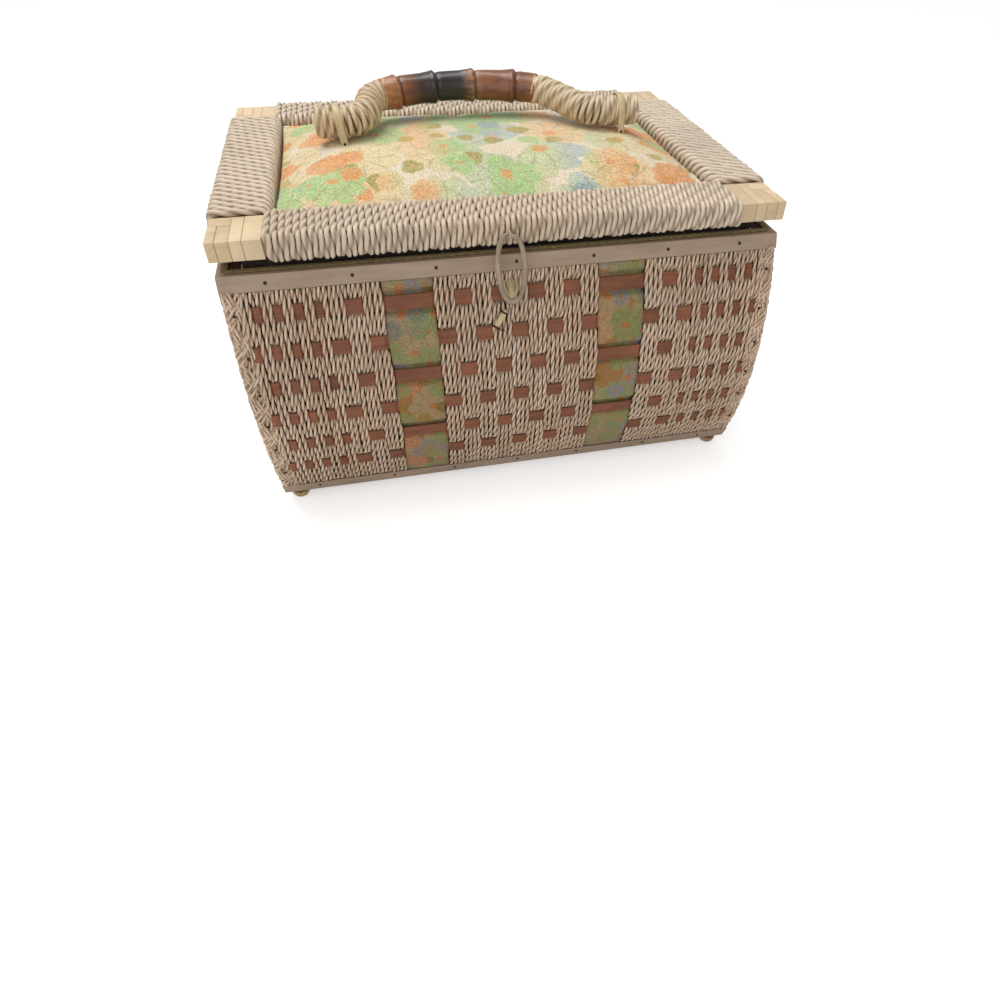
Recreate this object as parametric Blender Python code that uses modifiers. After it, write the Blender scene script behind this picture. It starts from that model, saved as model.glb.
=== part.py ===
"""A sewing basket: bulged woven body, corded lid with a padded panel, bamboo handle, ring latch.

Lengths are metres. The basket stands on z = 0 with its front towards -Y and its length along X.
"""
from math import asin, atan2, ceil, cos, pi, radians, sin, sqrt

import bmesh
import bpy
from mathutils import Matrix, Vector

MM = 0.001
GAP = 0.3 * MM                      # clearance between pieces that touch

# Body
BODY_LENGTH = 338 * MM              # over the end mats
RIM_Z = 176.6 * MM                  # top of the walls and laths
BULGE_RADIUS = 197.5 * MM           # of the front and back mats
BELLY_DEPTH = 282 * MM              # over the front and back mats at the belly
BELLY_Z = 103.5 * MM
FOOT_HEIGHT = 6 * MM
FOOT_DIAMETER = 12.5 * MM
FOOT_INSET = 5 * MM                 # of the middle of a foot from the end of the base
BASE_THICK = 9 * MM
MAT_THICK = 2.0 * MM                # sheet of cord
SPLINT_THICK = 1.4 * MM
SPLINT_HEIGHT = 10 * MM
SPLINT_COUNT = 6
SPLINT_TOP_MARGIN = 12.3 * MM       # from the mat's top to the middle of the first splint
SPLINT_LOW_MARGIN = 23.6 * MM       # from the middle of the last splint to the mat's lower edge
CLOTH_THICK = 0.8 * MM
CLOTH_WIDTH = 30 * MM
CLOTH_CENTRE = 66 * MM              # from the middle of the basket
CENTRE_COLUMNS = 9                  # of cord, between the cloth strips
WIDE_COLUMNS = 3                    # outside each cloth strip, before the narrow ones
WIDE_SHARE = 0.42                   # of the width out there
FRONT_NARROW_COLUMNS = 8
BACK_NARROW_COLUMNS = 4
END_COLUMNS = 13
WALL_THICK = 3 * MM
END_THICK = 8 * MM
LINING_THICK = 1.2 * MM
TOP_LATH_HEIGHT = 8.5 * MM
BOTTOM_LATH_HEIGHT = 10 * MM
BOTTOM_LATH_LIFT = 2.5 * MM         # above the underside of the base
LATH_THICK = 4.4 * MM
BRAID_WIDTH = 9 * MM
BRAID_PROUD = 0.8 * MM              # beyond the mats
BRAID_TURN = 9.5 * MM               # of the plait round on to the end, from the front
GIMP_THICK = 1.2 * MM
GIMP_WIDTH = 5 * MM
GIMP_INSET = 2 * MM                  # from the outside of the laths
COLLAR_THICK = 3 * MM
LEDGE_DROP = 28.6 * MM              # of the ledges on which the tray slides, below the rim
LEDGE_HEIGHT = 7 * MM
LEDGE_REACH = 9 * MM                # under the tray's edge
MAT_BINDING = 2 * MM                # cord run that ties the panels together above and below the cloth

# Lid
LID_OVERHANG_X = 1.0 * MM           # beyond the end mats
LID_OVERHANG_Y = 2.33 * MM          # beyond the front and back mats at the rim
RAIL_THICK = 8.6 * MM
REED_THICK = 1.0 * MM
REED_STRIPS = 3                     # side by side on each bare corner
REED_STEP = 0.25 * MM               # of every other strip below its neighbours
LID_RISE = 20.4 * MM                # of the bare corners' tops above the rim
SIDE_RAIL_WIDTH = 28.9 * MM
FRONT_RAIL_WIDTH = 33.8 * MM
CORD = 3.7 * MM
FRONT_RIBS = 48
SIDE_RIBS = 30
PAD_CROWN = 15 * MM                 # above the pad's own rim
PAD_RIM_DROP = 4 * MM               # of the pad's rim below the corner tops
PAD_DRAW = 1.6 * MM                 # of the sides, between the corners
PAD_BOARD_THICK = 3 * MM
LID_LINING_THICK = 1.2 * MM
LID_LINING_LAP = 6 * MM             # under the windings

# Handle
HANDLE_LIFT = 20.5 * MM             # of the axis above the bare corners
HANDLE_TILT = radians(12)           # as it lies folded back
GRIP_REACH = 43 * MM                # from the axis to the middle of the grip
GRIP_DIAMETER = 19 * MM
GRIP_SAG = 8.5 * MM                 # of the grip's ends behind its middle
GRIP_LEFT, GRIP_RIGHT = -61 * MM, 47 * MM
GRIP_NODES = (0.1, 0.34, 0.58, 0.84)  # joints of the root, as shares of its length
FOOT_LEFT, FOOT_RIGHT = -107 * MM, 112 * MM
HANDLE_BEND = 17 * MM
LEFT_RISE, RIGHT_RISE = radians(80), radians(50)
CORE_DIAMETER = 11.6 * MM
HANDLE_CORD = 2.2 * MM
HANDLE_PITCH = 4.7 * MM
LOOP_POINTS = 10
STRAP_WIDTH = 5 * MM
STRAP_THICK = 1.3 * MM
STRAP_INSET = 13.5 * MM               # of the strap's middle from the foot's end

# Tray, hinges and latch
TRAY_LENGTH = 214 * MM
TRAY_HEIGHT = 28 * MM
TRAY_WALL = 2 * MM
TRAY_CLEARANCE = 1.5 * MM
HINGE_INSET = 2.3 * MM               # of the hinge line from the lid's back edge
HINGE_X = 95 * MM
HINGE_WIDTH = 26 * MM
PIN_DIAMETER = 1.6 * MM
KNUCKLE_CLEARANCE = 0.5 * MM        # of the knuckle from the trim and the lid
LEAF_THICK = 0.8 * MM
LEAF_DEPTH = 8 * MM
PIN_CLEARANCE = 0.08 * MM
LATCH_X = -5 * MM
RING_WIDTH = 19.3 * MM
RING_HEIGHT = 41 * MM
RING_WIRE = 3.2 * MM
RING_PIVOT_DROP = 6 * MM            # below the corner tops
STAPLE_REACH = 5 * MM
STAPLE_WIDTH = 8 * MM
STAPLE_TOP_DROP = 10.6 * MM         # below the rim, as for the next three
STAPLE_DROP = 3 * MM                # of its legs below the holes before they turn out
CROWN_DROP = 21.1 * MM
STAPLE_WIRE = 2.2 * MM
PEG_LENGTH = 13 * MM
PEG_DIAMETER = 4 * MM
PEG_DROP = 27.6 * MM
PEG_LEAN = radians(30)
KNOT_DROP = 16.6 * MM               # of the peg's string, beside the staple
STRING = 1.2 * MM

# Places worked out from the sizes above
ARC_CENTRE = BELLY_DEPTH / 2 - BULGE_RADIUS


def half_depth(z, inset=0.0):
    """Distance of the front or back wall from the middle plane at a height."""
    radius = BULGE_RADIUS - inset
    return ARC_CENTRE + sqrt(radius * radius - (z - BELLY_Z) ** 2)


LID_TOP_Z = RIM_Z + LID_RISE
HANDLE_AXIS_Z = LID_TOP_Z + HANDLE_LIFT
LEDGE_TOP_Z = RIM_Z - LEDGE_DROP
STAPLE_TOP_Z = RIM_Z - STAPLE_TOP_DROP
CROWN_Z = RIM_Z - CROWN_DROP
PEG_TOP_Z = RIM_Z - PEG_DROP
KNOT_Z = RIM_Z - KNOT_DROP
LID_LENGTH = BODY_LENGTH + 2 * LID_OVERHANG_X
LID_DEPTH = 2 * (half_depth(RIM_Z) + LID_OVERHANG_Y)
HINGE_Y = LID_DEPTH / 2 - HINGE_INSET
SPLINT_INSET = MAT_THICK + GAP
CLOTH_UNDER = SPLINT_INSET + SPLINT_THICK + GAP
CLOTH_OVER = SPLINT_INSET - GAP - CLOTH_THICK
WALL_INSET = SPLINT_INSET + SPLINT_THICK + GAP + CLOTH_THICK + GAP
INSIDE_INSET = WALL_INSET + WALL_THICK + GAP
END_X = BODY_LENGTH / 2 - MAT_THICK - SPLINT_THICK - 2 * GAP
INNER_X = END_X - END_THICK - GAP
BASE_TOP = FOOT_HEIGHT + BASE_THICK
LATH_INSET = WALL_INSET - GAP - LATH_THICK
LATH_X = END_X + GAP + LATH_THICK
BRAID_X = BODY_LENGTH / 2 + BRAID_PROUD
LATH_END = BRAID_X - BRAID_WIDTH - GAP
END_FACE_INSET = BRAID_TURN + GAP
COLLAR_X = INNER_X - LINING_THICK - GAP
RAIL_TOP = LID_TOP_Z - REED_THICK - GAP
RAIL_BOTTOM = RAIL_TOP - RAIL_THICK
WINDING_BOTTOM = RAIL_BOTTOM - GAP - CORD
HINGE_LOW = RIM_Z + GAP + GIMP_THICK + GAP
HINGE_HIGH = WINDING_BOTTOM - GAP
HINGE_Z = (HINGE_LOW + HINGE_HIGH) / 2
KNUCKLE_DIAMETER = HINGE_HIGH - HINGE_LOW - 2 * KNUCKLE_CLEARANCE
RAIL_X = LID_LENGTH / 2 - REED_THICK - GAP
RAIL_Y = LID_DEPTH / 2 - REED_THICK - GAP
LID_FACE = RAIL_Y + GAP + CORD
OPEN_X = RAIL_X - SIDE_RAIL_WIDTH
OPEN_Y = RAIL_Y - FRONT_RAIL_WIDTH
PANEL_X = OPEN_X - CORD - 2 * GAP
PANEL_Y = OPEN_Y - CORD - 2 * GAP
BOARD_BOTTOM = WINDING_BOTTOM
PAD_BOTTOM = BOARD_BOTTOM + PAD_BOARD_THICK + GAP
PAD_RIM = LID_TOP_Z - PAD_RIM_DROP

for old in list(bpy.data.objects):
    bpy.data.objects.remove(old)
basket = bpy.data.collections.new("sewing_basket")
bpy.context.scene.collection.children.link(basket)
cutters = bpy.data.collections.new("cutters")
bpy.context.scene.collection.children.link(cutters)
root = bpy.data.objects.new("basket_origin", None)
basket.objects.link(root)


def finish_of(name, colour, roughness, metallic=0.0):
    """A plain Principled finish, made once for each name."""
    mat = bpy.data.materials.get(name) or bpy.data.materials.new(name)
    mat.use_nodes = True
    shader = mat.node_tree.nodes["Principled BSDF"]
    shader.inputs["Base Color"].default_value = (*colour, 1)
    shader.inputs["Roughness"].default_value = roughness
    shader.inputs["Metallic"].default_value = metallic
    return mat


FINISHES = {
    "body_cord": ((0.43, 0.31, 0.20), 0.7),
    "lid_cord": ((0.72, 0.61, 0.44), 0.6),
    "handle_cord": ((0.66, 0.53, 0.33), 0.55),
    "splint": ((0.28, 0.10, 0.05), 0.6),
    "lath": ((0.38, 0.30, 0.23), 0.5),
    "reed": ((0.62, 0.50, 0.33), 0.45),
    "board": ((0.35, 0.24, 0.14), 0.7),
    "collar": ((0.02, 0.015, 0.012), 0.6),
    "gimp": ((0.22, 0.15, 0.06), 0.5),
    "cloth": ((0.68, 0.58, 0.40), 0.85),
    "lining": ((0.66, 0.58, 0.44), 0.85),
    "tray": ((0.75, 0.68, 0.55), 0.4),
    "bamboo": ((0.10, 0.035, 0.015), 0.25),
    "cane": ((0.55, 0.43, 0.26), 0.4),
}


def place(obj, finish, parent=root):
    """Put a piece in the basket's collection with its own finish and parent."""
    for owner in list(obj.users_collection):
        owner.objects.unlink(obj)
    basket.objects.link(obj)
    obj.data.materials.clear()
    if finish == "brass":
        obj.data.materials.append(finish_of(obj.name, (0.60, 0.42, 0.17), 0.3, 1.0))
    else:
        obj.data.materials.append(finish_of(obj.name, *FINISHES[finish]))
    obj.parent = parent
    return obj


def mesh_object(name, bm):
    """A new object from a bmesh."""
    mesh = bpy.data.meshes.new(name)
    bm.to_mesh(mesh)
    bm.free()
    obj = bpy.data.objects.new(name, mesh)
    bpy.context.scene.collection.objects.link(obj)
    return obj


def to_mesh(obj):
    """Replace a curve or modified object with its plain welded mesh."""
    bpy.context.view_layer.update()
    graph = bpy.context.evaluated_depsgraph_get()
    mesh = bpy.data.meshes.new_from_object(obj.evaluated_get(graph))
    mesh.transform(obj.matrix_world)
    name = obj.name
    bpy.data.objects.remove(obj)
    bm = bmesh.new()
    bm.from_mesh(mesh)
    bmesh.ops.remove_doubles(bm, verts=bm.verts, dist=0.01 * MM)
    bmesh.ops.recalc_face_normals(bm, faces=bm.faces)
    return mesh_object(name, bm)


def outline_plate(name, outlines, low, high, turn):
    """Flat outlines, filled and extruded from low to high, then turned into place."""
    curve = bpy.data.curves.new(name, "CURVE")
    curve.dimensions = "2D"
    curve.fill_mode = "BOTH"
    curve.extrude = (high - low) / 2
    for points in outlines:
        spline = curve.splines.new("POLY")
        spline.points.add(len(points) - 1)
        for point, (u, v) in zip(spline.points, points):
            point.co = (u, v, 0, 1)
        spline.use_cyclic_u = True
    obj = bpy.data.objects.new(name, curve)
    bpy.context.scene.collection.objects.link(obj)
    obj.matrix_world = turn @ Matrix.Translation((0, 0, (low + high) / 2))
    return to_mesh(obj)


ALONG_X = Matrix(((0, 0, 1, 0), (1, 0, 0, 0), (0, 1, 0, 0), (0, 0, 0, 1)))   # outline (y, z)
ALONG_Z = Matrix.Identity(4)                                                # outline (x, y)


def along_x(name, outlines, low, high):
    return outline_plate(name, outlines, low, high, ALONG_X)


def box(name, low, high):
    """A box between two corners, from a cube primitive."""
    bm = bmesh.new()
    bmesh.ops.create_cube(bm, size=1)
    low, high = Vector(low), Vector(high)
    bmesh.ops.scale(bm, vec=high - low, verts=bm.verts)
    bmesh.ops.translate(bm, vec=(low + high) / 2, verts=bm.verts)
    return mesh_object(name, bm)


def rectangle(x, y):
    return [(-x, -y), (x, -y), (x, y), (-x, y)]


def cut(obj, *tools):
    """Cut the tools out of an object and remove them."""
    for tool in tools:
        tool.hide_render = True
        tool.display_type = "WIRE"
        for owner in list(tool.users_collection):
            owner.objects.unlink(tool)
        cutters.objects.link(tool)
        modifier = obj.modifiers.new("cut", "BOOLEAN")
        modifier.operation = "DIFFERENCE"
        modifier.object = tool
    plain = to_mesh(obj)
    for tool in tools:
        bpy.data.objects.remove(tool)
    return plain


def union(name, objects):
    """Overlapping solids made one."""
    first, *rest = objects
    for other in rest:
        modifier = first.modifiers.new("union", "BOOLEAN")
        modifier.operation = "UNION"
        modifier.object = other
    first.name = name
    plain = to_mesh(first)
    for other in rest:
        bpy.data.objects.remove(other)
    return plain


def mirrored(name, source, axis):
    """A turned-over copy of a finished mesh, with its faces pointing out."""
    bm = bmesh.new()
    bm.from_mesh(source.data)
    scale = Vector((1, 1, 1))
    scale[axis] = -1
    bmesh.ops.scale(bm, vec=scale, verts=bm.verts)
    bmesh.ops.reverse_faces(bm, faces=bm.faces)
    return mesh_object(name, bm)


def tube(name, points, diameter, resolution=2, cyclic=False):
    """A round rod, cord or wire along a list of points."""
    curve = bpy.data.curves.new(name, "CURVE")
    curve.dimensions = "3D"
    curve.bevel_depth = diameter / 2
    curve.bevel_resolution = resolution
    curve.use_fill_caps = not cyclic
    spline = curve.splines.new("POLY")
    spline.points.add(len(points) - 1)
    for point, co in zip(spline.points, points):
        point.co = (*co, 1)
    spline.use_cyclic_u = cyclic
    obj = bpy.data.objects.new(name, curve)
    bpy.context.scene.collection.objects.link(obj)
    return to_mesh(obj)


RIM_ANGLE = asin((RIM_Z - BELLY_Z) / BULGE_RADIUS)
ARC_STEP = radians(5)


def bulge_point(along, inset=0.0):
    """A point of the front wall, by its distance below the rim along the bulge."""
    angle = RIM_ANGLE - along / BULGE_RADIUS
    radius = BULGE_RADIUS - inset
    return -(ARC_CENTRE + radius * cos(angle)), BELLY_Z + radius * sin(angle)


def wall_line(inset, low, high):
    """Front wall points (y, z) from a low to a high level, at shared angles between."""
    radius = BULGE_RADIUS - inset
    first, last = asin((low - BELLY_Z) / radius), asin((high - BELLY_Z) / radius)
    angles = [first]
    step = ceil(first / ARC_STEP + 0.3)
    while step * ARC_STEP < last - 0.3 * ARC_STEP:
        angles.append(step * ARC_STEP)
        step += 1
    angles.append(last)
    return [(-(ARC_CENTRE + radius * cos(a)), BELLY_Z + radius * sin(a)) for a in angles]


def bulged_outline(inset, low, high):
    """The whole cross section: front line up, back line down."""
    front = wall_line(inset, low, high)
    return front + [(-y, z) for y, z in reversed(front)]


def wall_band(outer, inner, low, high):
    """The cross section of one bent front wall."""
    return wall_line(outer, low, high) + list(reversed(wall_line(inner, low, high)))


RING_PIVOT = Vector((LATCH_X, -(LID_FACE + GAP + RING_WIRE / 2), LID_TOP_Z - RING_PIVOT_DROP))
CROWN_Y = -(half_depth(CROWN_Z) + STAPLE_REACH)
RING_SPAN = RING_HEIGHT - RING_WIRE
RING_TILT = asin((-CROWN_Y + STAPLE_WIRE / 2 + GAP + RING_WIRE / 2 + RING_PIVOT.y) / RING_SPAN)
RING_FRONT = -RING_PIVOT.y + RING_SPAN * sin(RING_TILT) + RING_WIRE / 2
root.location.y = (RING_FRONT - BELLY_DEPTH / 2 - BRAID_PROUD) / 2   # middle of the depth at y = 0
lid_axis = bpy.data.objects.new("lid_axis", None)
handle_axis = bpy.data.objects.new("handle_axis", None)
for axis, spot, carrier in ((lid_axis, (0, HINGE_Y, HINGE_Z), root),
                            (handle_axis, (0, 0, HANDLE_AXIS_Z), lid_axis)):
    basket.objects.link(axis)
    axis.parent = carrier
    axis.location = Vector(spot) - (Vector((0, HINGE_Y, HINGE_Z)) if carrier == lid_axis else Vector())


def place_lid(obj, finish, axis=lid_axis):
    """Put a piece on the lid or on the handle, with its origin on that joint's axis."""
    place(obj, finish, axis)
    origin = Vector((0, HINGE_Y, HINGE_Z)) if axis == lid_axis else Vector((0, 0, HANDLE_AXIS_Z))
    obj.data.transform(Matrix.Translation(-origin))
    return obj


def make_boards():
    """Base, end boards, bent walls and the frame that stands inside the rim."""
    base = bulged_outline(WALL_INSET, FOOT_HEIGHT, BASE_TOP)
    place(along_x("base_board", [base], -END_X, END_X), "board")
    end = bulged_outline(INSIDE_INSET, BASE_TOP + GAP, RIM_Z)
    for side, low in (("left", -END_X), ("right", END_X - END_THICK)):
        place(along_x("end_board_" + side, [end], low, low + END_THICK), "board")
    front = along_x("wall_board_front", [wall_band(WALL_INSET, WALL_INSET + WALL_THICK,
                                                   BASE_TOP + GAP, RIM_Z)], -END_X, END_X)
    place(mirrored("wall_board_back", front, 1), "board")
    place(front, "board")
    collar_y = half_depth(RIM_Z, INSIDE_INSET + LINING_THICK) - GAP
    inner_x, inner_y = COLLAR_X - COLLAR_THICK, collar_y - COLLAR_THICK
    collar = box("collar", (-COLLAR_X, -collar_y, LEDGE_TOP_Z - LEDGE_HEIGHT),
                 (COLLAR_X, collar_y, WINDING_BOTTOM - GAP))
    room = box("room", (-inner_x, -inner_y, LEDGE_TOP_Z), (inner_x, inner_y, WINDING_BOTTOM + MM))
    tray_y = inner_y - TRAY_CLEARANCE
    throat = box("throat", (-inner_x, -tray_y + LEDGE_REACH, LEDGE_TOP_Z - LEDGE_HEIGHT - MM),
                 (inner_x, tray_y - LEDGE_REACH, LEDGE_TOP_Z + MM))
    place(cut(collar, room, throat), "collar")
    return tray_y


def make_feet():
    """Dome feet, turned from one profile, under the corners."""
    foot_y = half_depth(FOOT_HEIGHT, WALL_INSET)
    foot_x = END_X - FOOT_INSET
    radius = FOOT_DIAMETER / 2
    height = FOOT_HEIGHT - GAP
    profile = [(0.0, height), (radius, height), (radius, 0.62 * height), (0.82 * radius, 0.25 * height),
               (0.5 * radius, 0.0), (0.0, 0.0)]
    for row, y in (("front", -foot_y), ("back", foot_y)):
        for side, x in (("left", -foot_x), ("right", foot_x)):
            bm = bmesh.new()
            points = [bm.verts.new((r, 0, z)) for r, z in profile]
            for one, two in zip(points, points[1:]):
                bm.edges.new((one, two))
            bmesh.ops.spin(bm, geom=bm.verts[:] + bm.edges[:], axis=(0, 0, 1), cent=(0, 0, 0),
                           angle=2 * pi, steps=12)
            bmesh.ops.remove_doubles(bm, verts=bm.verts, dist=0.01 * MM)
            bmesh.ops.recalc_face_normals(bm, faces=bm.faces)
            foot = place(mesh_object(f"foot_{row}_{side}", bm), "board")
            foot.location = (x, y, 0)


def cord_sheet(name, columns, phases, point, inward):
    """A mat of cord with square openings, as a sheet given its thickness."""
    bm = bmesh.new()
    levels = mat_levels()
    grid = [[bm.verts.new(point(x, along)) for x in columns] for along in levels]
    for row in range(len(levels) - 1):
        for column, phase in enumerate(phases):
            if not is_open(phase, row):
                bm.faces.new((grid[row][column], grid[row + 1][column],
                              grid[row + 1][column + 1], grid[row][column + 1]))
    for vert in [v for v in bm.verts if not v.link_faces]:
        bm.verts.remove(vert)
    obj = mesh_object(name, bm)
    sheet = obj.modifiers.new("thickness", "SOLIDIFY")
    sheet.thickness = MAT_THICK
    sheet.offset = -inward
    return to_mesh(obj)


def along_of(z):
    """Distance below the rim, along the bulge, of a level."""
    return BULGE_RADIUS * (RIM_ANGLE - asin((z - BELLY_Z) / BULGE_RADIUS))


MAT_TOP = along_of(RIM_Z - TOP_LATH_HEIGHT) + 2 * GAP
MAT_BOTTOM = along_of(FOOT_HEIGHT + BOTTOM_LATH_LIFT + BOTTOM_LATH_HEIGHT) - 2 * GAP
SPLINT_PITCH = (MAT_BOTTOM - MAT_TOP - SPLINT_TOP_MARGIN - SPLINT_LOW_MARGIN) / (SPLINT_COUNT - 1)
SPLINTS = [MAT_TOP + SPLINT_TOP_MARGIN + SPLINT_PITCH * i for i in range(SPLINT_COUNT)]


def mat_levels():
    """Binding, then splint and plain bands in turn, then binding again."""
    levels = [MAT_TOP, MAT_TOP + MAT_BINDING]
    for middle in SPLINTS:
        levels += [middle - SPLINT_HEIGHT / 2, middle + SPLINT_HEIGHT / 2]
    return levels + [MAT_BOTTOM - MAT_BINDING, MAT_BOTTOM]


CLOTH_COLUMN = "cloth"


def is_open(phase, row):
    """Whether a cell is left open: all of a cloth column, and every other splint elsewhere.

    A phase of 0 shows the first, third and fifth splint, and a phase of 1 the ones between.
    """
    if phase == CLOTH_COLUMN:
        return 0 < row < 2 * SPLINT_COUNT + 2
    return row >= 2 and row % 2 == 0 and row // 2 <= SPLINT_COUNT and (row // 2 - 1) % 2 == phase


def even_steps(low, high, count):
    return [low + (high - low) * i / count for i in range(count + 1)]


def make_bulged_mats():
    """Front and back: panels of cord between two cloth strips, wide columns, then narrow ones outwards."""
    inner = CLOTH_CENTRE - CLOTH_WIDTH / 2 - GAP
    outer = CLOTH_CENTRE + CLOTH_WIDTH / 2 + GAP
    wide = (LATH_END - outer) * WIDE_SHARE / WIDE_COLUMNS
    centre = even_steps(-inner, inner, CENTRE_COLUMNS)
    for side, narrow in (("front", FRONT_NARROW_COLUMNS), ("back", BACK_NARROW_COLUMNS)):
        flank = [outer + wide * i for i in range(WIDE_COLUMNS)]
        flank += even_steps(outer + WIDE_COLUMNS * wide, LATH_END, narrow)
        flank_phases = [(i + 1) % 2 for i in range(WIDE_COLUMNS + narrow)]
        columns = [-x for x in reversed(flank)] + centre + flank
        phases = flank_phases[::-1] + [CLOTH_COLUMN] + [(i + 1) % 2 for i in range(CENTRE_COLUMNS)]
        phases += [CLOTH_COLUMN] + flank_phases
        mat = cord_sheet("mat_" + side, columns, phases, lambda x, s: (x, *bulge_point(s)), 1)
        place(flipped(mat) if side == "back" else mat, "body_cord")
        for end, centre_x in (("left", -CLOTH_CENTRE), ("right", CLOTH_CENTRE)):
            cloth = cloth_strip(f"cloth_strip_{side}_{end}", centre_x)
            place(flipped(cloth) if side == "back" else cloth, "cloth")


def flipped(obj):
    """The same object moved to the back by a mirror across the middle plane."""
    name = obj.name
    back = mirrored(name + "_back", obj, 1)
    bpy.data.objects.remove(obj)
    back.name = name
    return back


def hoop(name, inset, thick, low, high):
    """A flat band all round the body between two levels."""
    end = END_X + GAP
    ring = along_x(name, [bulged_outline(inset, low, high)], -end - thick, end + thick)
    inside = along_x("inside", [bulged_outline(inset + thick, low - 2 * MM, high + 2 * MM)], -end, end)
    return cut(ring, inside)


def make_splints():
    """Six level splints, each one run round the body behind the cord."""
    for number, middle in enumerate(SPLINTS, 1):
        low = bulge_point(middle + SPLINT_HEIGHT / 2, SPLINT_INSET)[1]
        high = bulge_point(middle - SPLINT_HEIGHT / 2, SPLINT_INSET)[1]
        place(hoop(f"splint_{number}", SPLINT_INSET, SPLINT_THICK, low, high), "splint")


def cloth_strip(name, centre):
    """One cloth band, woven behind the odd splints and in front of the even ones."""
    hold = SPLINT_HEIGHT / 2 + 2 * GAP
    line = [(MAT_TOP + MAT_BINDING + GAP, CLOTH_OVER)]
    for number, middle in enumerate(SPLINTS):
        inset = CLOTH_UNDER if number % 2 == 0 else CLOTH_OVER
        line += [(middle - hold, inset), (middle + hold, inset)]
    line.append((MAT_BOTTOM - MAT_BINDING - GAP, CLOTH_OVER))
    outline = [bulge_point(s, inset) for s, inset in line]
    outline += [bulge_point(s, inset + CLOTH_THICK) for s, inset in reversed(line)]
    return along_x(name, [outline], centre - CLOTH_WIDTH / 2, centre + CLOTH_WIDTH / 2)


def make_end_mats():
    """Left and right: one flat mat each, whose columns follow the bulged outline."""
    shares = even_steps(-1, 1, END_COLUMNS)
    phases = [i % 2 for i in range(END_COLUMNS)]
    for side, sign in (("left", -1), ("right", 1)):
        def end_point(share, along, x=sign * BODY_LENGTH / 2):
            z = bulge_point(along)[1]
            return (x, share * half_depth(z, END_FACE_INSET), z)
        place(cord_sheet("mat_" + side, shares, phases, end_point, sign), "body_cord")


def make_laths():
    """A flat lath hoop along the rim and one along the bottom edge."""
    low_edge = FOOT_HEIGHT + BOTTOM_LATH_LIFT
    place(hoop("top_lath", LATH_INSET, LATH_THICK, RIM_Z - TOP_LATH_HEIGHT, RIM_Z), "lath")
    place(hoop("bottom_lath", LATH_INSET, LATH_THICK, low_edge, low_edge + BOTTOM_LATH_HEIGHT), "lath")


def make_braids():
    """Plaits over the four upright edges, each turned round its corner, from lath to lath."""
    low = FOOT_HEIGHT + BOTTOM_LATH_LIFT + BOTTOM_LATH_HEIGHT + GAP
    high = RIM_Z - TOP_LATH_HEIGHT - GAP
    start = BRAID_X - BRAID_WIDTH
    plait = along_x("corner_braid_front_right", [wall_band(-BRAID_PROUD, BRAID_TURN, low, high)],
                    start, BRAID_X)
    core = along_x("core", [wall_band(MAT_THICK, 2 * BRAID_TURN, low - 2 * MM, high + 2 * MM)],
                   start - 2 * MM, BODY_LENGTH / 2 - MAT_THICK)
    right = cut(plait, core)
    left = mirrored("corner_braid_front_left", right, 0)
    place(mirrored("corner_braid_back_right", right, 1), "body_cord")
    place(mirrored("corner_braid_back_left", left, 1), "body_cord")
    place(left, "body_cord")
    place(right, "body_cord")


def make_gimp():
    """Thin trim along the top of the laths, one closed run."""
    outer_y = half_depth(RIM_Z, LATH_INSET) - GIMP_INSET
    outer_x = LATH_X - GIMP_INSET
    run = [rectangle(outer_x, outer_y), rectangle(outer_x - GIMP_WIDTH, outer_y - GIMP_WIDTH)]
    place(outline_plate("gimp_trim", run, RIM_Z + GAP, RIM_Z + GAP + GIMP_THICK, ALONG_Z), "gimp")


def make_lining_and_tray(tray_y):
    """Card lining, and the tray that slides on the collar's ledges."""
    floor = BASE_TOP + GAP
    shell = along_x("lining", [bulged_outline(INSIDE_INSET, floor, RIM_Z - GAP)], -INNER_X, INNER_X)
    hollow_x = INNER_X - LINING_THICK
    hollow = along_x("hollow", [bulged_outline(INSIDE_INSET + LINING_THICK, floor + LINING_THICK,
                                               RIM_Z + 2 * MM)], -hollow_x, hollow_x)
    place(cut(shell, hollow), "lining")
    left = -(COLLAR_X - COLLAR_THICK - TRAY_CLEARANCE)
    bottom = LEDGE_TOP_Z + GAP
    right = left + TRAY_LENGTH
    top = bottom + TRAY_HEIGHT
    tray = box("tray", (left, -tray_y, bottom), (right, tray_y, top))
    pockets = []
    x_walls = [left, left + 0.36 * TRAY_LENGTH, left + 0.68 * TRAY_LENGTH, right - TRAY_WALL]
    y_walls = [-tray_y, -0.25 * tray_y, tray_y - TRAY_WALL]
    for x0, x1 in zip(x_walls, x_walls[1:]):
        for y0, y1 in zip(y_walls, y_walls[1:]):
            pockets.append(box("pocket", (x0 + TRAY_WALL, y0 + TRAY_WALL, bottom + TRAY_WALL),
                               (x1, y1, top + MM)))
    place(cut(tray, *pockets), "tray")


def make_lid_frame():
    """The jointed wooden frame, the board of the panel and the lining card."""
    outline = [rectangle(RAIL_X, RAIL_Y), rectangle(OPEN_X, OPEN_Y)]
    place_lid(outline_plate("lid_frame", outline, RAIL_BOTTOM, RAIL_TOP, ALONG_Z), "board")
    place_lid(box("lid_board", (-PANEL_X, -PANEL_Y, BOARD_BOTTOM),
                  (PANEL_X, PANEL_Y, BOARD_BOTTOM + PAD_BOARD_THICK)), "board")
    card_x, card_y = OPEN_X + LID_LINING_LAP, OPEN_Y + LID_LINING_LAP
    card_top = BOARD_BOTTOM - GAP
    place_lid(box("lid_lining", (-card_x, -card_y, card_top - LID_LINING_THICK),
                  (card_x, card_y, card_top)), "lining")


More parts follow.
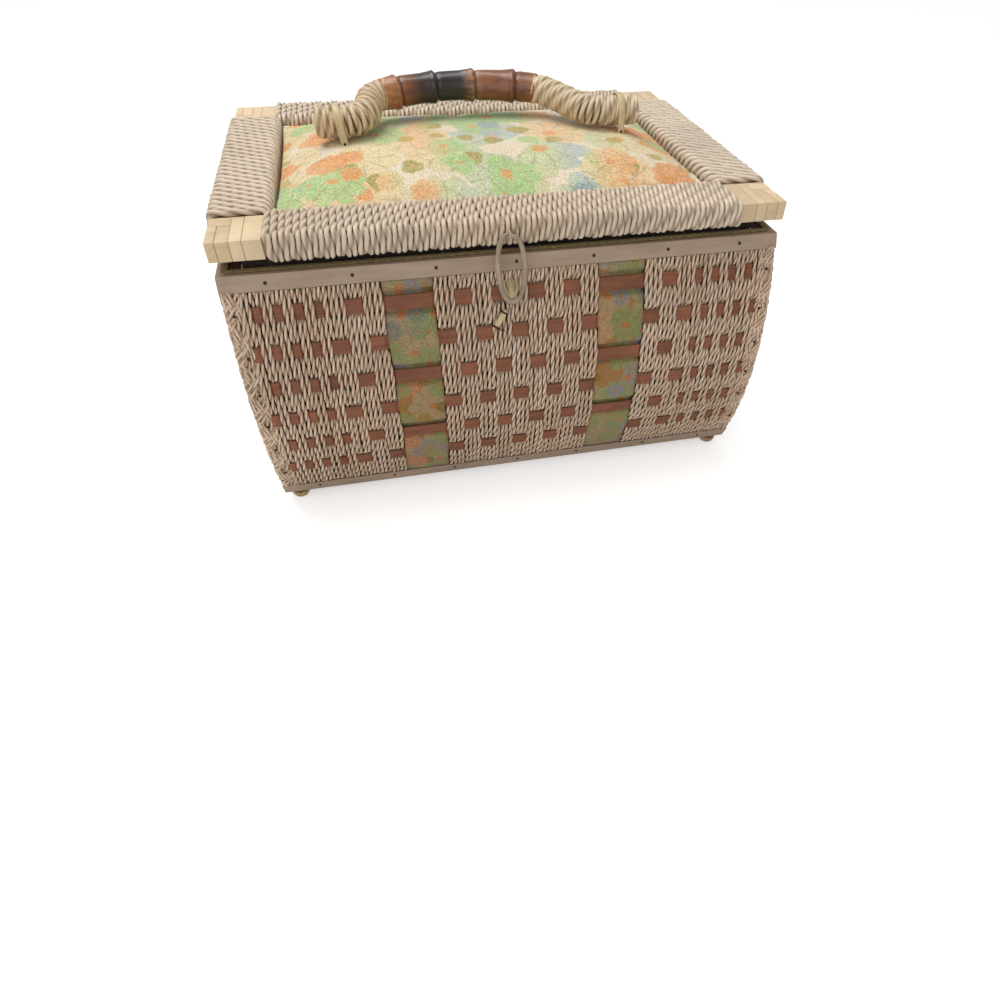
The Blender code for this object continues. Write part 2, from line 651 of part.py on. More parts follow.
def make_corner_wraps():
    """Reed strips side by side over a bare corner, in steps, open towards the side rail."""
    start = OPEN_X + GAP
    pitch = (LID_LENGTH / 2 - start) / REED_STRIPS
    low, high = -LID_DEPTH / 2, -OPEN_Y - GAP
    under = RAIL_BOTTOM - GAP - REED_THICK
    wrap = box("corner_wrap_front_right", (start, low, under), (LID_LENGTH / 2, high, LID_TOP_Z))
    room = box("room", (start - MM, low + REED_THICK, RAIL_BOTTOM - GAP),
               (LID_LENGTH / 2 - REED_THICK, high + MM, RAIL_TOP + GAP))
    x0, x1 = start + pitch, start + 2 * pitch
    steps = [box("top_step", (x0, low - MM, LID_TOP_Z - REED_STEP), (x1, high + MM, LID_TOP_Z + MM)),
             box("low_step", (x0, low - MM, under - MM), (x1, high + MM, under + REED_STEP)),
             box("front_step", (x0, low - MM, under - MM), (x1, low + REED_STEP, LID_TOP_Z + MM))]
    right = cut(wrap, room, *steps)
    left = mirrored("corner_wrap_front_left", right, 0)
    place_lid(mirrored("corner_wrap_back_right", right, 1), "reed")
    place_lid(mirrored("corner_wrap_back_left", left, 1), "reed")
    place_lid(right, "reed")
    place_lid(left, "reed")


def ribbed_sleeve(name, low, high, ribs, across_low, across_high, along):
    """The outside of a winding on a flat rail: one ridge and one valley for each rib.

    along is 0 for a rail that runs along X, and 1 for one that runs along Y.
    """
    bm = bmesh.new()
    step = (high - low) / ribs
    rings = []
    for number in range(2 * ribs + 1):
        proud = GAP + (CORD if number % 2 else 0.72 * CORD)
        corner = proud - GAP
        near, far = across_low - proud, across_high + proud
        base, top = RAIL_BOTTOM - proud, RAIL_TOP + proud
        section = [(near, base), (far, base), (far, top - corner), (far - corner, top),
                   (near + corner, top), (near, top - corner)]
        run = low + number * step / 2
        rings.append([bm.verts.new((run, a, z) if along == 0 else (a, run, z)) for a, z in section])
    sides = len(rings[0])
    for one, two in zip(rings, rings[1:]):
        for i in range(sides):
            j = (i + 1) % sides
            bm.faces.new((one[i], one[j], two[j], two[i]))
    bm.faces.new(rings[0])
    bm.faces.new(rings[-1])
    bmesh.ops.recalc_face_normals(bm, faces=bm.faces)
    sleeve = mesh_object(name, bm)
    a0, a1 = across_low - GAP, across_high + GAP
    z0, z1 = RAIL_BOTTOM - GAP, RAIL_TOP + GAP
    if along == 0:
        bore = box("bore", (low - MM, a0, z0), (high + MM, a1, z1))
    else:
        bore = box("bore", (a0, low - MM, z0), (a1, high + MM, z1))
    return cut(sleeve, bore)


def make_windings():
    reach_x = OPEN_X
    reach_y = OPEN_Y - 2 * GAP - CORD
    place_lid(ribbed_sleeve("winding_front", -reach_x, reach_x, FRONT_RIBS, -RAIL_Y, -OPEN_Y, 0), "lid_cord")
    place_lid(ribbed_sleeve("winding_back", -reach_x, reach_x, FRONT_RIBS, OPEN_Y, RAIL_Y, 0), "lid_cord")
    place_lid(ribbed_sleeve("winding_left", -reach_y, reach_y, SIDE_RIBS, -RAIL_X, -OPEN_X, 1), "lid_cord")
    place_lid(ribbed_sleeve("winding_right", -reach_y, reach_y, SIDE_RIBS, OPEN_X, RAIL_X, 1), "lid_cord")


def pad_height(x, y):
    """Top of the crowned pad."""
    across = max(0.0, 1 - (x / PANEL_X) ** 4)
    deep = max(0.0, 1 - (y / PANEL_Y) ** 4)
    return PAD_RIM + PAD_CROWN * (across * deep) ** 0.7


def make_pad():
    """The padded panel: crowned on top, its sides drawn in between the corners."""
    bm = bmesh.new()
    x_cells, y_cells = 12, 10
    half_x, half_y = PANEL_X - GAP, PANEL_Y - GAP
    top = []
    for row in range(y_cells + 1):
        v = 2 * row / y_cells - 1
        line = []
        for column in range(x_cells + 1):
            u = 2 * column / x_cells - 1
            x = u * (half_x - PAD_DRAW * (1 - v * v))
            y = v * (half_y - PAD_DRAW * (1 - u * u))
            line.append(bm.verts.new((x, y, pad_height(u * PANEL_X, v * PANEL_Y))))
        top.append(line)
    for row in range(y_cells):
        for column in range(x_cells):
            bm.faces.new((top[row][column], top[row][column + 1],
                          top[row + 1][column + 1], top[row + 1][column]))
    rim = top[0][:-1] + [line[-1] for line in top[:-1]] + top[-1][:0:-1] + [line[0] for line in top[:0:-1]]
    bottom = [bm.verts.new((vert.co.x, vert.co.y, PAD_BOTTOM)) for vert in rim]
    for i in range(len(rim)):
        j = (i + 1) % len(rim)
        bm.faces.new((rim[j], rim[i], bottom[i], bottom[j]))
    bm.faces.new(bottom)
    bmesh.ops.recalc_face_normals(bm, faces=bm.faces)
    place_lid(mesh_object("lid_pad", bm), "cloth")


def grip_reach(x):
    """Distance of the grip's centre line from the handle's axis."""
    middle, half = (GRIP_LEFT + GRIP_RIGHT) / 2, (GRIP_RIGHT - GRIP_LEFT) / 2
    return GRIP_REACH - GRIP_SAG * ((x - middle) / half) ** 2


END_SLOPE = atan2(4 * GRIP_SAG, GRIP_RIGHT - GRIP_LEFT)


def riser(foot_end, grip_end, rise):
    """Centre line from a foot's end to the grip: straight, bend up, straight, bend back to the grip."""
    inward = 1 if grip_end > foot_end else -1
    run, height = abs(grip_end - foot_end), grip_reach(grip_end)
    back = HANDLE_BEND * (cos(END_SLOPE) - cos(rise))
    slant = (height - HANDLE_BEND * (1 - cos(rise)) - back) / sin(rise)
    foot = run - HANDLE_BEND * (2 * sin(rise) - sin(END_SLOPE)) - slant * cos(rise)
    points = [Vector((0, 0)), Vector((foot / 2, 0)), Vector((foot, 0))]
    steps = 5
    for i in range(1, steps + 1):
        a = rise * i / steps
        points.append(Vector((foot + HANDLE_BEND * sin(a), HANDLE_BEND * (1 - cos(a)))))
    top = points[-1] + slant * Vector((cos(rise), sin(rise)))
    points.append(top)
    for i in range(1, steps + 1):
        a = rise + (END_SLOPE - rise) * i / steps
        points.append(top + HANDLE_BEND * Vector((sin(rise) - sin(a), cos(a) - cos(rise))))
    return [Vector((foot_end + inward * u, r)) for u, r in points]


def tilted(x, r, off=0.0):
    """A point of the handle: along its axis, out from it in the tilted plane, and off that plane."""
    c, s = cos(HANDLE_TILT), sin(HANDLE_TILT)
    return Vector((x, r * c - off * s, HANDLE_AXIS_Z + r * s + off * c))


def helix(line, radius, pitch):
    """Points of one unbroken winding round a plane centre line, with its ends left short."""
    lengths = [0.0]
    for a, b in zip(line, line[1:]):
        lengths.append(lengths[-1] + (b - a).length)
    start, stop = HANDLE_CORD, lengths[-1] - HANDLE_CORD
    loops = int((stop - start) / pitch)
    count = loops * LOOP_POINTS
    points = []
    for i in range(count + 1):
        run = start + (stop - start) * i / count
        k = max(n for n in range(len(line) - 1) if lengths[n] <= run)
        t = (run - lengths[k]) / (lengths[k + 1] - lengths[k])
        spot = line[k].lerp(line[k + 1], t)
        before = (line[k] - line[k - 1]).normalized() if k else (line[1] - line[0]).normalized()
        here = (line[k + 1] - line[k]).normalized()
        after = (line[k + 2] - line[k + 1]).normalized() if k + 2 < len(line) else here
        start_way, stop_way = (before + here).normalized(), (here + after).normalized()
        way = start_way.lerp(stop_way, t).normalized()
        turn = 2 * pi * i / LOOP_POINTS
        side = Vector((-way.y, way.x)) * cos(turn) * radius
        points.append(tilted(spot.x + side.x, spot.y + side.y, sin(turn) * radius))
    return points, loops


def least_gap(points, diameter):
    """Smallest clear distance between a winding's own turns, over points on neighbouring loops."""
    fine = [a.lerp(b, t / 4) for a, b in zip(points, points[1:]) for t in range(4)]
    reach = 4 * LOOP_POINTS
    return min((fine[i] - fine[j]).length for i in range(len(fine))
               for j in range(i + reach // 2, min(i + 2 * reach, len(fine)))) - diameter


def make_handle():
    """Rod, bored bamboo grip over its middle, and cord wound on both ends."""
    left = riser(FOOT_LEFT, GRIP_LEFT, LEFT_RISE)
    right = riser(FOOT_RIGHT, GRIP_RIGHT, RIGHT_RISE)
    grip_x = even_steps(GRIP_LEFT, GRIP_RIGHT, 8)
    middle = [Vector((x, grip_reach(x))) for x in grip_x[1:-1]]
    line = left + middle + right[::-1]
    core = tube("handle_core", [tilted(*p) for p in line], CORE_DIAMETER, 2)
    place_lid(core, "board", handle_axis)
    radius = CORE_DIAMETER / 2 + GAP + HANDLE_CORD / 2
    for side, part in (("left", left), ("right", right)):
        points, loops = helix(part, radius, HANDLE_PITCH)
        print(f"handle winding {side}: {loops} loops, least gap "
              f"{least_gap(points, HANDLE_CORD) / MM:.2f} mm")
        place_lid(tube("handle_winding_" + side, points, HANDLE_CORD, 1), "handle_cord", handle_axis)
    stops = []
    shares = {0.0: 0.96, 1.0: 0.96}
    for node in GRIP_NODES:
        shares.update({node - 0.035: 0.93, node: 1.06, node + 0.035: 0.93})
    for share in sorted(shares):
        x = GRIP_LEFT + GAP + (GRIP_RIGHT - GRIP_LEFT - 2 * GAP) * share
        stops.append((tilted(x, grip_reach(x)), shares[share]))
    curve = bpy.data.curves.new("grip", "CURVE")
    curve.dimensions = "3D"
    curve.bevel_depth = GRIP_DIAMETER / 2
    curve.bevel_resolution = 3
    curve.use_fill_caps = True
    spline = curve.splines.new("POLY")
    spline.points.add(len(stops) - 1)
    for point, (co, share) in zip(spline.points, stops):
        point.co = (*co, 1)
        point.radius = share
    grip = bpy.data.objects.new("bamboo_grip", curve)
    bpy.context.scene.collection.objects.link(grip)
    lead = [tilted(*left[-2]), tilted(*left[-1])]
    tail = [tilted(*right[-1]), tilted(*right[-2])]
    bore = tube("bore", lead + [tilted(*p) for p in middle] + tail, CORE_DIAMETER + 2 * GAP, 2)
    place_lid(cut(to_mesh(grip), bore), "bamboo", handle_axis)
    return radius + HANDLE_CORD / 2


def make_straps(wound_radius):
    """A flat cane strap over each foot of the handle, down to the pad on both sides."""
    inner = wound_radius + GAP
    outer = inner + STRAP_THICK
    for side, middle in (("left", FOOT_LEFT + STRAP_INSET), ("right", FOOT_RIGHT - STRAP_INSET)):
        seat = pad_height(middle, 0) + GAP
        arch = [pi * i / 8 for i in range(9)]
        outline = [(outer * cos(a), HANDLE_AXIS_Z + outer * sin(a)) for a in arch]
        outline += [(-outer, seat), (-inner, seat)]
        outline += [(inner * cos(a), HANDLE_AXIS_Z + inner * sin(a)) for a in reversed(arch)]
        outline += [(inner, seat), (outer, seat)]
        strap = along_x("handle_strap_" + side, [outline], middle - STRAP_WIDTH / 2, middle + STRAP_WIDTH / 2)
        place_lid(strap, "cane")


def rod_x(name, x0, x1, radius, sides=16):
    """A round bar along X through the hinge axis."""
    bm = bmesh.new()
    bmesh.ops.create_cone(bm, cap_ends=True, segments=sides, radius1=radius, radius2=radius, depth=x1 - x0)
    bm.transform(Matrix.Translation(((x0 + x1) / 2, HINGE_Y, HINGE_Z)) @ Matrix.Rotation(pi / 2, 4, "Y"))
    return mesh_object(name, bm)


def make_hinges():
    """Two butt hinges lying in the gap between rim and lid.

    The body leaf has the two outer knuckles with the pin pressed in them, and the lid leaf the middle one.
    """
    inner = HINGE_Y - KNUCKLE_DIAMETER / 2 - GAP
    back = HINGE_Y - KNUCKLE_DIAMETER / 6
    front = HINGE_Y - LEAF_DEPTH
    knuckle = HINGE_WIDTH / 4
    low, high = HINGE_LOW, HINGE_HIGH
    for side, centre in (("left", -HINGE_X), ("right", HINGE_X)):
        start, stop = centre - HINGE_WIDTH / 2, centre + HINGE_WIDTH / 2
        pieces = [box("leaf", (start, front, low), (stop, inner, low + LEAF_THICK))]
        for x0, x1 in ((start, start + knuckle), (stop - knuckle, stop)):
            pieces.append(box("tongue", (x0, front + MM, low), (x1, back, low + LEAF_THICK)))
            pieces.append(rod_x("knuckle", x0, x1, KNUCKLE_DIAMETER / 2))
        pieces.append(rod_x("pin", start - GAP, stop + GAP, PIN_DIAMETER / 2))
        place(union("hinge_leaf_body_" + side, pieces), "brass")
        x0, x1 = start + knuckle + GAP, stop - knuckle - GAP
        pieces = [box("leaf", (start, front, high - LEAF_THICK), (stop, inner, high)),
                  box("tongue", (x0, front + MM, high - LEAF_THICK), (x1, back, high)),
                  rod_x("knuckle", x0, x1, KNUCKLE_DIAMETER / 2)]
        bore = rod_x("bore", start - MM, stop + MM, PIN_DIAMETER / 2 + PIN_CLEARANCE)
        place_lid(cut(union("hinge_leaf_lid_" + side, pieces), bore), "brass")


def make_latch():
    """Ring on its string loop at the lid's front, over a cane staple, and a peg on a string."""
    hanger = RING_WIRE / 2 + GAP + STRING / 2
    loop = []
    for i in range(10):
        a = radians(60 + 240 * i / 9)
        loop.append(RING_PIVOT + Vector((0, hanger * cos(a), hanger * sin(a))))
    seat = -(LID_FACE + GAP + STRING / 2)
    way = [Vector((LATCH_X, seat, loop[0].z + MM))] + [p for p in loop if p.y < seat]
    way.append(Vector((LATCH_X, seat, loop[-1].z - MM)))
    place_lid(tube("ring_hanger", way, STRING, 1), "cane")
    ring_axis = bpy.data.objects.new("ring_axis", None)
    basket.objects.link(ring_axis)
    ring_axis.parent = lid_axis
    ring_axis.location = RING_PIVOT - Vector((0, HINGE_Y, HINGE_Z))
    half_x, half_z = (RING_WIDTH - RING_WIRE) / 2, RING_SPAN / 2
    points = []
    for i in range(24):
        a = 2 * pi * i / 24
        drop = half_z * (1 - cos(a))
        x = half_x * (1 if sin(a) >= 0 else -1) * abs(sin(a)) ** 0.8
        points.append(Vector((x, -drop * sin(RING_TILT), -drop * cos(RING_TILT))))
    ring = place(tube("latch_ring", points, RING_WIRE, 2, cyclic=True), "cane", ring_axis)
    ring.location = (0, 0, 0)
    left, right = LATCH_X - STAPLE_WIDTH / 2, LATCH_X + STAPLE_WIDTH / 2
    root_y = -(half_depth(STAPLE_TOP_Z) + GAP + STAPLE_WIRE / 2)
    bend = Vector((0, -STAPLE_DROP / 2, -STAPLE_DROP))
    starts = [Vector((x, root_y, STAPLE_TOP_Z)) for x in (left, right)]
    staple = [starts[0], starts[0] + bend]
    for i in range(7):
        a = pi * i / 6
        x = LATCH_X - STAPLE_WIDTH / 2 * cos(a)
        share = 0.35 + 0.65 * sin(a)
        staple.append(Vector((x, root_y + (CROWN_Y - root_y) * share,
                              STAPLE_TOP_Z + (CROWN_Z - STAPLE_TOP_Z) * share)))
    staple += [starts[1] + bend, starts[1]]
    place(tube("latch_staple", staple, STAPLE_WIRE, 1), "cane")
    make_peg(left)


def make_peg(x):
    """Cane peg on its string, hung beside the staple against the mat."""
    knot = Vector((x, -(half_depth(KNOT_Z) + GAP + STRING / 2), KNOT_Z))
    axis = bpy.data.objects.new("peg_axis", None)
    basket.objects.link(axis)
    axis.parent = root
    axis.location = knot
    steps = 5
    line = []
    for i in range(steps):
        z = KNOT_Z + (PEG_TOP_Z + GAP - KNOT_Z) * i / (steps - 1)
        line.append(Vector((x, -(half_depth(z) + GAP + STRING / 2), z)) - knot)
    place(tube("peg_string", line, STRING, 1), "cane", axis)
    low_z = PEG_TOP_Z - PEG_LENGTH * cos(PEG_LEAN)
    top = Vector((x, -(half_depth(PEG_TOP_Z) + GAP + PEG_DIAMETER / 2), PEG_TOP_Z - PEG_DIAMETER / 2))
    low = Vector((x - PEG_LENGTH * sin(PEG_LEAN), -(half_depth(low_z) + GAP + PEG_DIAMETER / 2), low_z))
    place(tube("latch_peg", [top - knot, low - knot], PEG_DIAMETER, 2), "cane", axis)


def main():
    tray_y = make_boards()
    make_feet()
    make_bulged_mats()
    make_splints()
    make_end_mats()
    make_laths()
    make_braids()
    make_gimp()
    make_lining_and_tray(tray_y)
    make_lid_frame()
    make_corner_wraps()
    make_windings()
    make_pad()
    make_straps(make_handle())
    make_hinges()
    make_latch()
    print(f"ring: tilt {RING_TILT * 180 / pi:.1f} degrees, shift {root.location.y / MM:.2f} mm, pivot "
          f"{tuple(round(v / MM, 2) for v in RING_PIVOT)}")


main()
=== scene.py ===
"""Looks of the sewing basket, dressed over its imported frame.

Lengths are metres. Those of a piece's own shape are millimetres about the basket's middle plane, until
place_mm puts them in the frame.
"""
import math

import bmesh
import bpy
import numpy as np
from mathutils import Matrix, Vector


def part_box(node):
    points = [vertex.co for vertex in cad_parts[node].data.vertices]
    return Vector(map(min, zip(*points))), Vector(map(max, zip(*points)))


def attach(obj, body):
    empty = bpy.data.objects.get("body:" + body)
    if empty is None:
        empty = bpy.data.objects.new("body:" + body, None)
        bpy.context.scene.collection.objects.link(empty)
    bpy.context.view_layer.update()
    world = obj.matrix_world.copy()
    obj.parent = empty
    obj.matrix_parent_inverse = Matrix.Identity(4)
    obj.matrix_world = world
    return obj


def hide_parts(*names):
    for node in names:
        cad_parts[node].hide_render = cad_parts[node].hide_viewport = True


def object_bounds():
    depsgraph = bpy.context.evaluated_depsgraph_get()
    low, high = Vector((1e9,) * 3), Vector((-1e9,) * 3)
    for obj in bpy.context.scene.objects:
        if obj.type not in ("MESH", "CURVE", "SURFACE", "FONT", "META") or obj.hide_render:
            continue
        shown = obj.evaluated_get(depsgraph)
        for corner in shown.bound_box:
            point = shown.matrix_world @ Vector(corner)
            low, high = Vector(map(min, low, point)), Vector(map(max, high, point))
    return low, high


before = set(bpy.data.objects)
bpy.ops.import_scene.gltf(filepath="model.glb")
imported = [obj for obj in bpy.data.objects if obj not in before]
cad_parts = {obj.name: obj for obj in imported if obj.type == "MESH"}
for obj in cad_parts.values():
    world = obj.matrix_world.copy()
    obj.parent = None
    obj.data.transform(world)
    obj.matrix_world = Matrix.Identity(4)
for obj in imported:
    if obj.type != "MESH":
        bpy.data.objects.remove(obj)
CAD_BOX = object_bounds()
MM = 0.001
MID_Y = sum((c.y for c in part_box("lid_frame")), 0.0) / 2          # the basket's middle plane
SIDES = ("front", "back", "left", "right")
CORNERS = [(x, y) for y in ("front", "back") for x in ("left", "right")]
ALONG_X, ALONG_Y = np.array([1.0, 0, 0]), np.array([0, 1.0, 0])
rng = np.random.default_rng(7)


def add_camera():
    """The photograph's own view, as it was fitted to measured points."""
    yaw, pitch, roll = 0.255, 0.766, 0.030
    forward = Vector((math.sin(yaw) * math.cos(pitch), math.cos(yaw) * math.cos(pitch), -math.sin(pitch)))
    flat = Vector((math.cos(yaw), -math.sin(yaw), 0))
    upright = flat.cross(forward)
    right = math.cos(roll) * flat + math.sin(roll) * upright
    up = math.cos(roll) * upright - math.sin(roll) * flat
    data = bpy.data.cameras.new("camera")
    data.lens, data.sensor_width = 25.945, 36
    data.shift_x, data.shift_y = -0.051, 0.0189
    data.clip_start, data.clip_end = 0.01, 20
    cam = bpy.data.objects.new("camera", data)
    bpy.context.scene.collection.objects.link(cam)
    turn = Matrix((right, up, -forward)).transposed()
    cam.matrix_world = Matrix.Translation((-0.0807, -0.5373 + MID_Y, 0.3606)) @ turn.to_4x4()
    bpy.context.scene.camera = cam


add_camera()


# Materials
def srgb(*seen):
    """A colour as seen, 0 to 255, as linear values."""
    shares = (value / 255 for value in seen)
    return tuple(v / 12.92 if v < 0.039 else ((v + 0.055) / 1.055) ** 2.4 for v in shares) + (1,)


class Nodes:
    """Short names for adding and wiring nodes in one tree."""

    def __init__(self, tree):
        self.tree = tree

    def add(self, kind, settings=None, **inputs):
        """A new node. An input goes by its name, or by its number as i0."""
        node = self.tree.nodes.new(kind)
        for key, value in (settings or {}).items():
            setattr(node, key, value)
        for key, value in inputs.items():
            self.set(node, key, value)
        return node

    def set(self, node, key, value):
        """Link a socket to an input, or give it a plain value."""
        name = key.replace("_", " ")
        socket = node.inputs[int(name[1:])] if name[0] == "i" and name[1:].isdigit() else node.inputs[name]
        if isinstance(value, bpy.types.NodeSocket):
            self.tree.links.new(value, socket)
        else:
            socket.default_value = value

    def math(self, kind, a, b=0.0, clamp=False):
        return self.add("ShaderNodeMath", {"operation": kind, "use_clamp": clamp}, i0=a, i1=b).outputs[0]

    def plus(self, a, b, clamp=False):
        return self.math("ADD", a, b, clamp)

    def minus(self, a, b, clamp=False):
        return self.math("SUBTRACT", a, b, clamp)

    def times(self, a, b, clamp=False):
        return self.math("MULTIPLY", a, b, clamp)

    def mix(self, fac, a, b, blend="MIX"):
        node = self.add("ShaderNodeMix", {"data_type": "RGBA", "blend_type": blend}, i0=fac, i6=a, i7=b)
        return node.outputs[2]

    def ramp(self, fac, stops):
        node = self.add("ShaderNodeValToRGB", i0=fac)
        while len(node.color_ramp.elements) < len(stops):
            node.color_ramp.elements.new(0.5)
        for element, (place, colour) in zip(node.color_ramp.elements, stops):
            element.position, element.color = place, colour if len(colour) == 4 else (*colour, 1)
        return node.outputs[0]

    def vector(self, kind, a, b=None, scale=None):
        node = self.add("ShaderNodeVectorMath", {"operation": kind}, i0=a)
        if b is not None:
            self.set(node, "i1", b)
        if scale is not None:
            self.set(node, "Scale", scale)
        return node.outputs[0]

    def noise(self, vector, scale, detail=3.0, rough=0.5):
        return self.add("ShaderNodeTexNoise", Vector=vector, Scale=scale, Detail=detail,
                        Roughness=rough).outputs[0]

    def attribute(self, name):
        return self.add("ShaderNodeAttribute", {"attribute_name": name}).outputs["Fac"]

    def coords(self, scale=(1, 1, 1)):
        spot = self.add("ShaderNodeTexCoord").outputs["Object"]
        return self.add("ShaderNodeMapping", Vector=spot, Scale=scale).outputs[0]

    def group(self, tree, **inputs):
        return self.add("ShaderNodeGroup", {"node_tree": tree}, **inputs).outputs

    def bump(self, height, distance, strength):
        return self.add("ShaderNodeBump", Strength=strength, Distance=distance, Height=height).outputs[0]


def material(name, roughness, **sockets):
    """A new material: its node helper and its Principled shader, with constants on the shader itself."""
    mat = bpy.data.materials.new(name)
    mat.use_nodes = True
    tree = mat.node_tree
    shader = next(n for n in tree.nodes if n.type == "BSDF_PRINCIPLED")
    shader.inputs["Roughness"].default_value = roughness
    for key, value in sockets.items():
        shader.inputs[key.replace("_", " ")].default_value = value
    return mat, Nodes(tree), shader


def node_group(name, inputs, outputs, kind="ShaderNodeTree"):
    """A new group: its tree's helper, what it is given, and the node that takes its results."""
    tree = bpy.data.node_groups.new(name, kind)
    for label, socket_kind, value in inputs:
        socket = tree.interface.new_socket(label, in_out="INPUT", socket_type="NodeSocket" + socket_kind)
        if value is not None:
            socket.default_value = value
    for label, socket_kind in outputs:
        tree.interface.new_socket(label, in_out="OUTPUT", socket_type="NodeSocket" + socket_kind)
    n = Nodes(tree)
    return n, n.add("NodeGroupInput").outputs, n.add("NodeGroupOutput")


def wear_group():
    """Uneven tone over some centimetres, as handled things have."""
    n, given, result = node_group(
        "wear", [("Color", "Color", (1, 1, 1, 1)), ("Vector", "Vector", None), ("Dark", "Float", 0.8),
                 ("Scale", "Float", 22.0)], [("Color", "Color")])
    patches = n.noise(given["Vector"], given["Scale"], 4.0, 0.6)
    spread = n.add("ShaderNodeMapRange", Value=patches, From_Min=0.3, From_Max=0.7,
                   To_Min=given["Dark"]).outputs[0]
    tone = n.add("ShaderNodeCombineColor", Red=spread, Green=spread, Blue=spread).outputs[0]
    n.set(result, "Color", n.mix(1.0, given["Color"], tone, "MULTIPLY"))
    return n.tree


WEAR = wear_group()


def wear(n, colour, dark=0.82, scale=22.0):
    """The colour, worn: down to a share of dark in patches of 1/scale metres."""
    return n.group(WEAR, Color=colour, Vector=n.coords(), Dark=dark, Scale=scale)[0]


def finished(mat, n, shader, colour, normal):
    """Wire a material's two results to its shader."""
    n.set(shader, "Base Color", colour)
    n.set(shader, "Normal", normal)
    return mat


def cord_material(name, light, dark, groove, roughness=0.55):
    """Twisted paper cord: painted shade in the grooves between the plies by their depth, strand to strand
    variation and fine paper fibres.
    """
    mat, n, shader = material(name, roughness, Specular_IOR_Level=0.35, Sheen_Weight=0.06)
    strand = n.mix(n.attribute("shade"), dark, light)
    fine = n.noise(n.coords(), 900.0, 2.0, 0.7)
    strand = n.mix(n.times(fine, 0.30), strand, groove)
    # Painted shade: the deeper a point lies between the plies, the nearer its colour comes to the groove
    # colour.
    colour = n.mix(n.math("POWER", n.attribute("depth"), 1.6), strand, groove)
    return finished(mat, n, shader, wear(n, colour), n.bump(fine, 0.0002, 0.5))


def grained(name, light, dark, roughness, ring_scale=(40, 400, 400), sheen=0.3, worn=0.8):
    """Split or sawn wood, its fibres lying along the axis with the smallest scale."""
    mat, n, shader = material(name, roughness, Specular_IOR_Level=sheen)
    fibre = n.noise(n.coords(ring_scale), 1.0, 5.0, 0.65)
    colour = n.ramp(fibre, [(0.28, dark), (0.72, light)])
    return finished(mat, n, shader, wear(n, colour, worn, 30.0), n.bump(fibre, 0.00015, 0.6))


def speckled(name, light, dark, roughness, scale, distance, **sockets):
    """A fine grain of two colours with its bump, for cards, thread, metal and plastic."""
    mat, n, shader = material(name, roughness, **sockets)
    grain = n.noise(n.coords(), scale, 4.0, 0.7)
    colour = n.ramp(grain, [(0.35, dark), (0.65, light)])
    return finished(mat, n, shader, wear(n, colour, 0.85, 25.0), n.bump(grain, distance, 0.6))


def quilted(name, light, dark, spacing):
    """Thin quilted cotton: puffed diamonds between stitched lines, with painted shade in the creases along
    the lines.
    """
    mat, n, shader = material(name, 0.82, Sheen_Weight=0.25)
    spot = n.add("ShaderNodeSeparateXYZ", Vector=n.coords()).outputs
    cross = n.plus(spot[1], spot[2])
    lines = [n.math("ABSOLUTE", n.math("SINE", n.times(n.math(kind, spot[0], cross), math.pi / spacing)))
             for kind in ("ADD", "SUBTRACT")]
    puff = n.math("POWER", n.math("MINIMUM", *lines), 0.45)
    weave = n.noise(n.coords(), 1300.0, 3.0, 0.7)
    # Painted shade: the colour darkens from the puffs into the creases at the stitched lines.
    colour = n.mix(n.times(weave, n.times(puff, 1.6), clamp=True), dark, light)
    height = n.plus(puff, n.times(weave, 0.08))
    return finished(mat, n, shader, wear(n, colour, 0.88, 20.0), n.bump(height, 0.003, 0.7))


def reed_material():
    """Flat split reed, each piece in its own tone."""
    mat, n, shader = material("flat_reed", 0.5, Specular_IOR_Level=0.35)
    fibre = n.noise(n.coords((90, 90, 500)), 1.0, 5.0, 0.7)
    tone = n.plus(n.times(fibre, 0.5), n.times(n.attribute("shade"), 0.5))
    colour = n.ramp(tone, [(0.2, srgb(204, 178, 140)), (0.8, srgb(236, 212, 174))])
    return finished(mat, n, shader, wear(n, colour, 0.84, 45.0), n.bump(fibre, 0.0002, 0.5))


def bamboo_material():
    """Lacquered root: tan end, black middle, brown right part, darker rings at the joints, scratches."""
    mat, n, shader = material("bamboo", 0.34, Specular_IOR_Level=0.45, Coat_Weight=0.25, Coat_Roughness=0.2)
    streaks = n.noise(n.coords((60, 260, 260)), 1.0, 6.0, 0.7)
    drift = n.times(n.minus(streaks, 0.5), 0.10)
    base = n.ramp(n.plus(n.attribute("along"), drift),
                  [(0.0, srgb(192, 134, 84)), (0.095, srgb(180, 116, 66)), (0.15, srgb(146, 88, 52)),
                   (0.25, srgb(64, 42, 34)), (0.36, srgb(34, 27, 27)), (0.52, srgb(44, 32, 28)),
                   (0.60, srgb(178, 122, 72)), (0.66, srgb(142, 86, 52)), (0.86, srgb(136, 80, 48)),
                   (1.0, srgb(160, 106, 66))])
    dark = n.ramp(streaks, [(0.30, (0.35, 0.30, 0.28)), (0.62, (1, 1, 1))])
    colour = n.mix(1.0, base, dark, "MULTIPLY")
    colour = n.mix(n.times(n.attribute("joint"), 0.75), colour, srgb(36, 18, 12))
    return finished(mat, n, shader, colour, n.bump(streaks, 0.0004, 0.35))


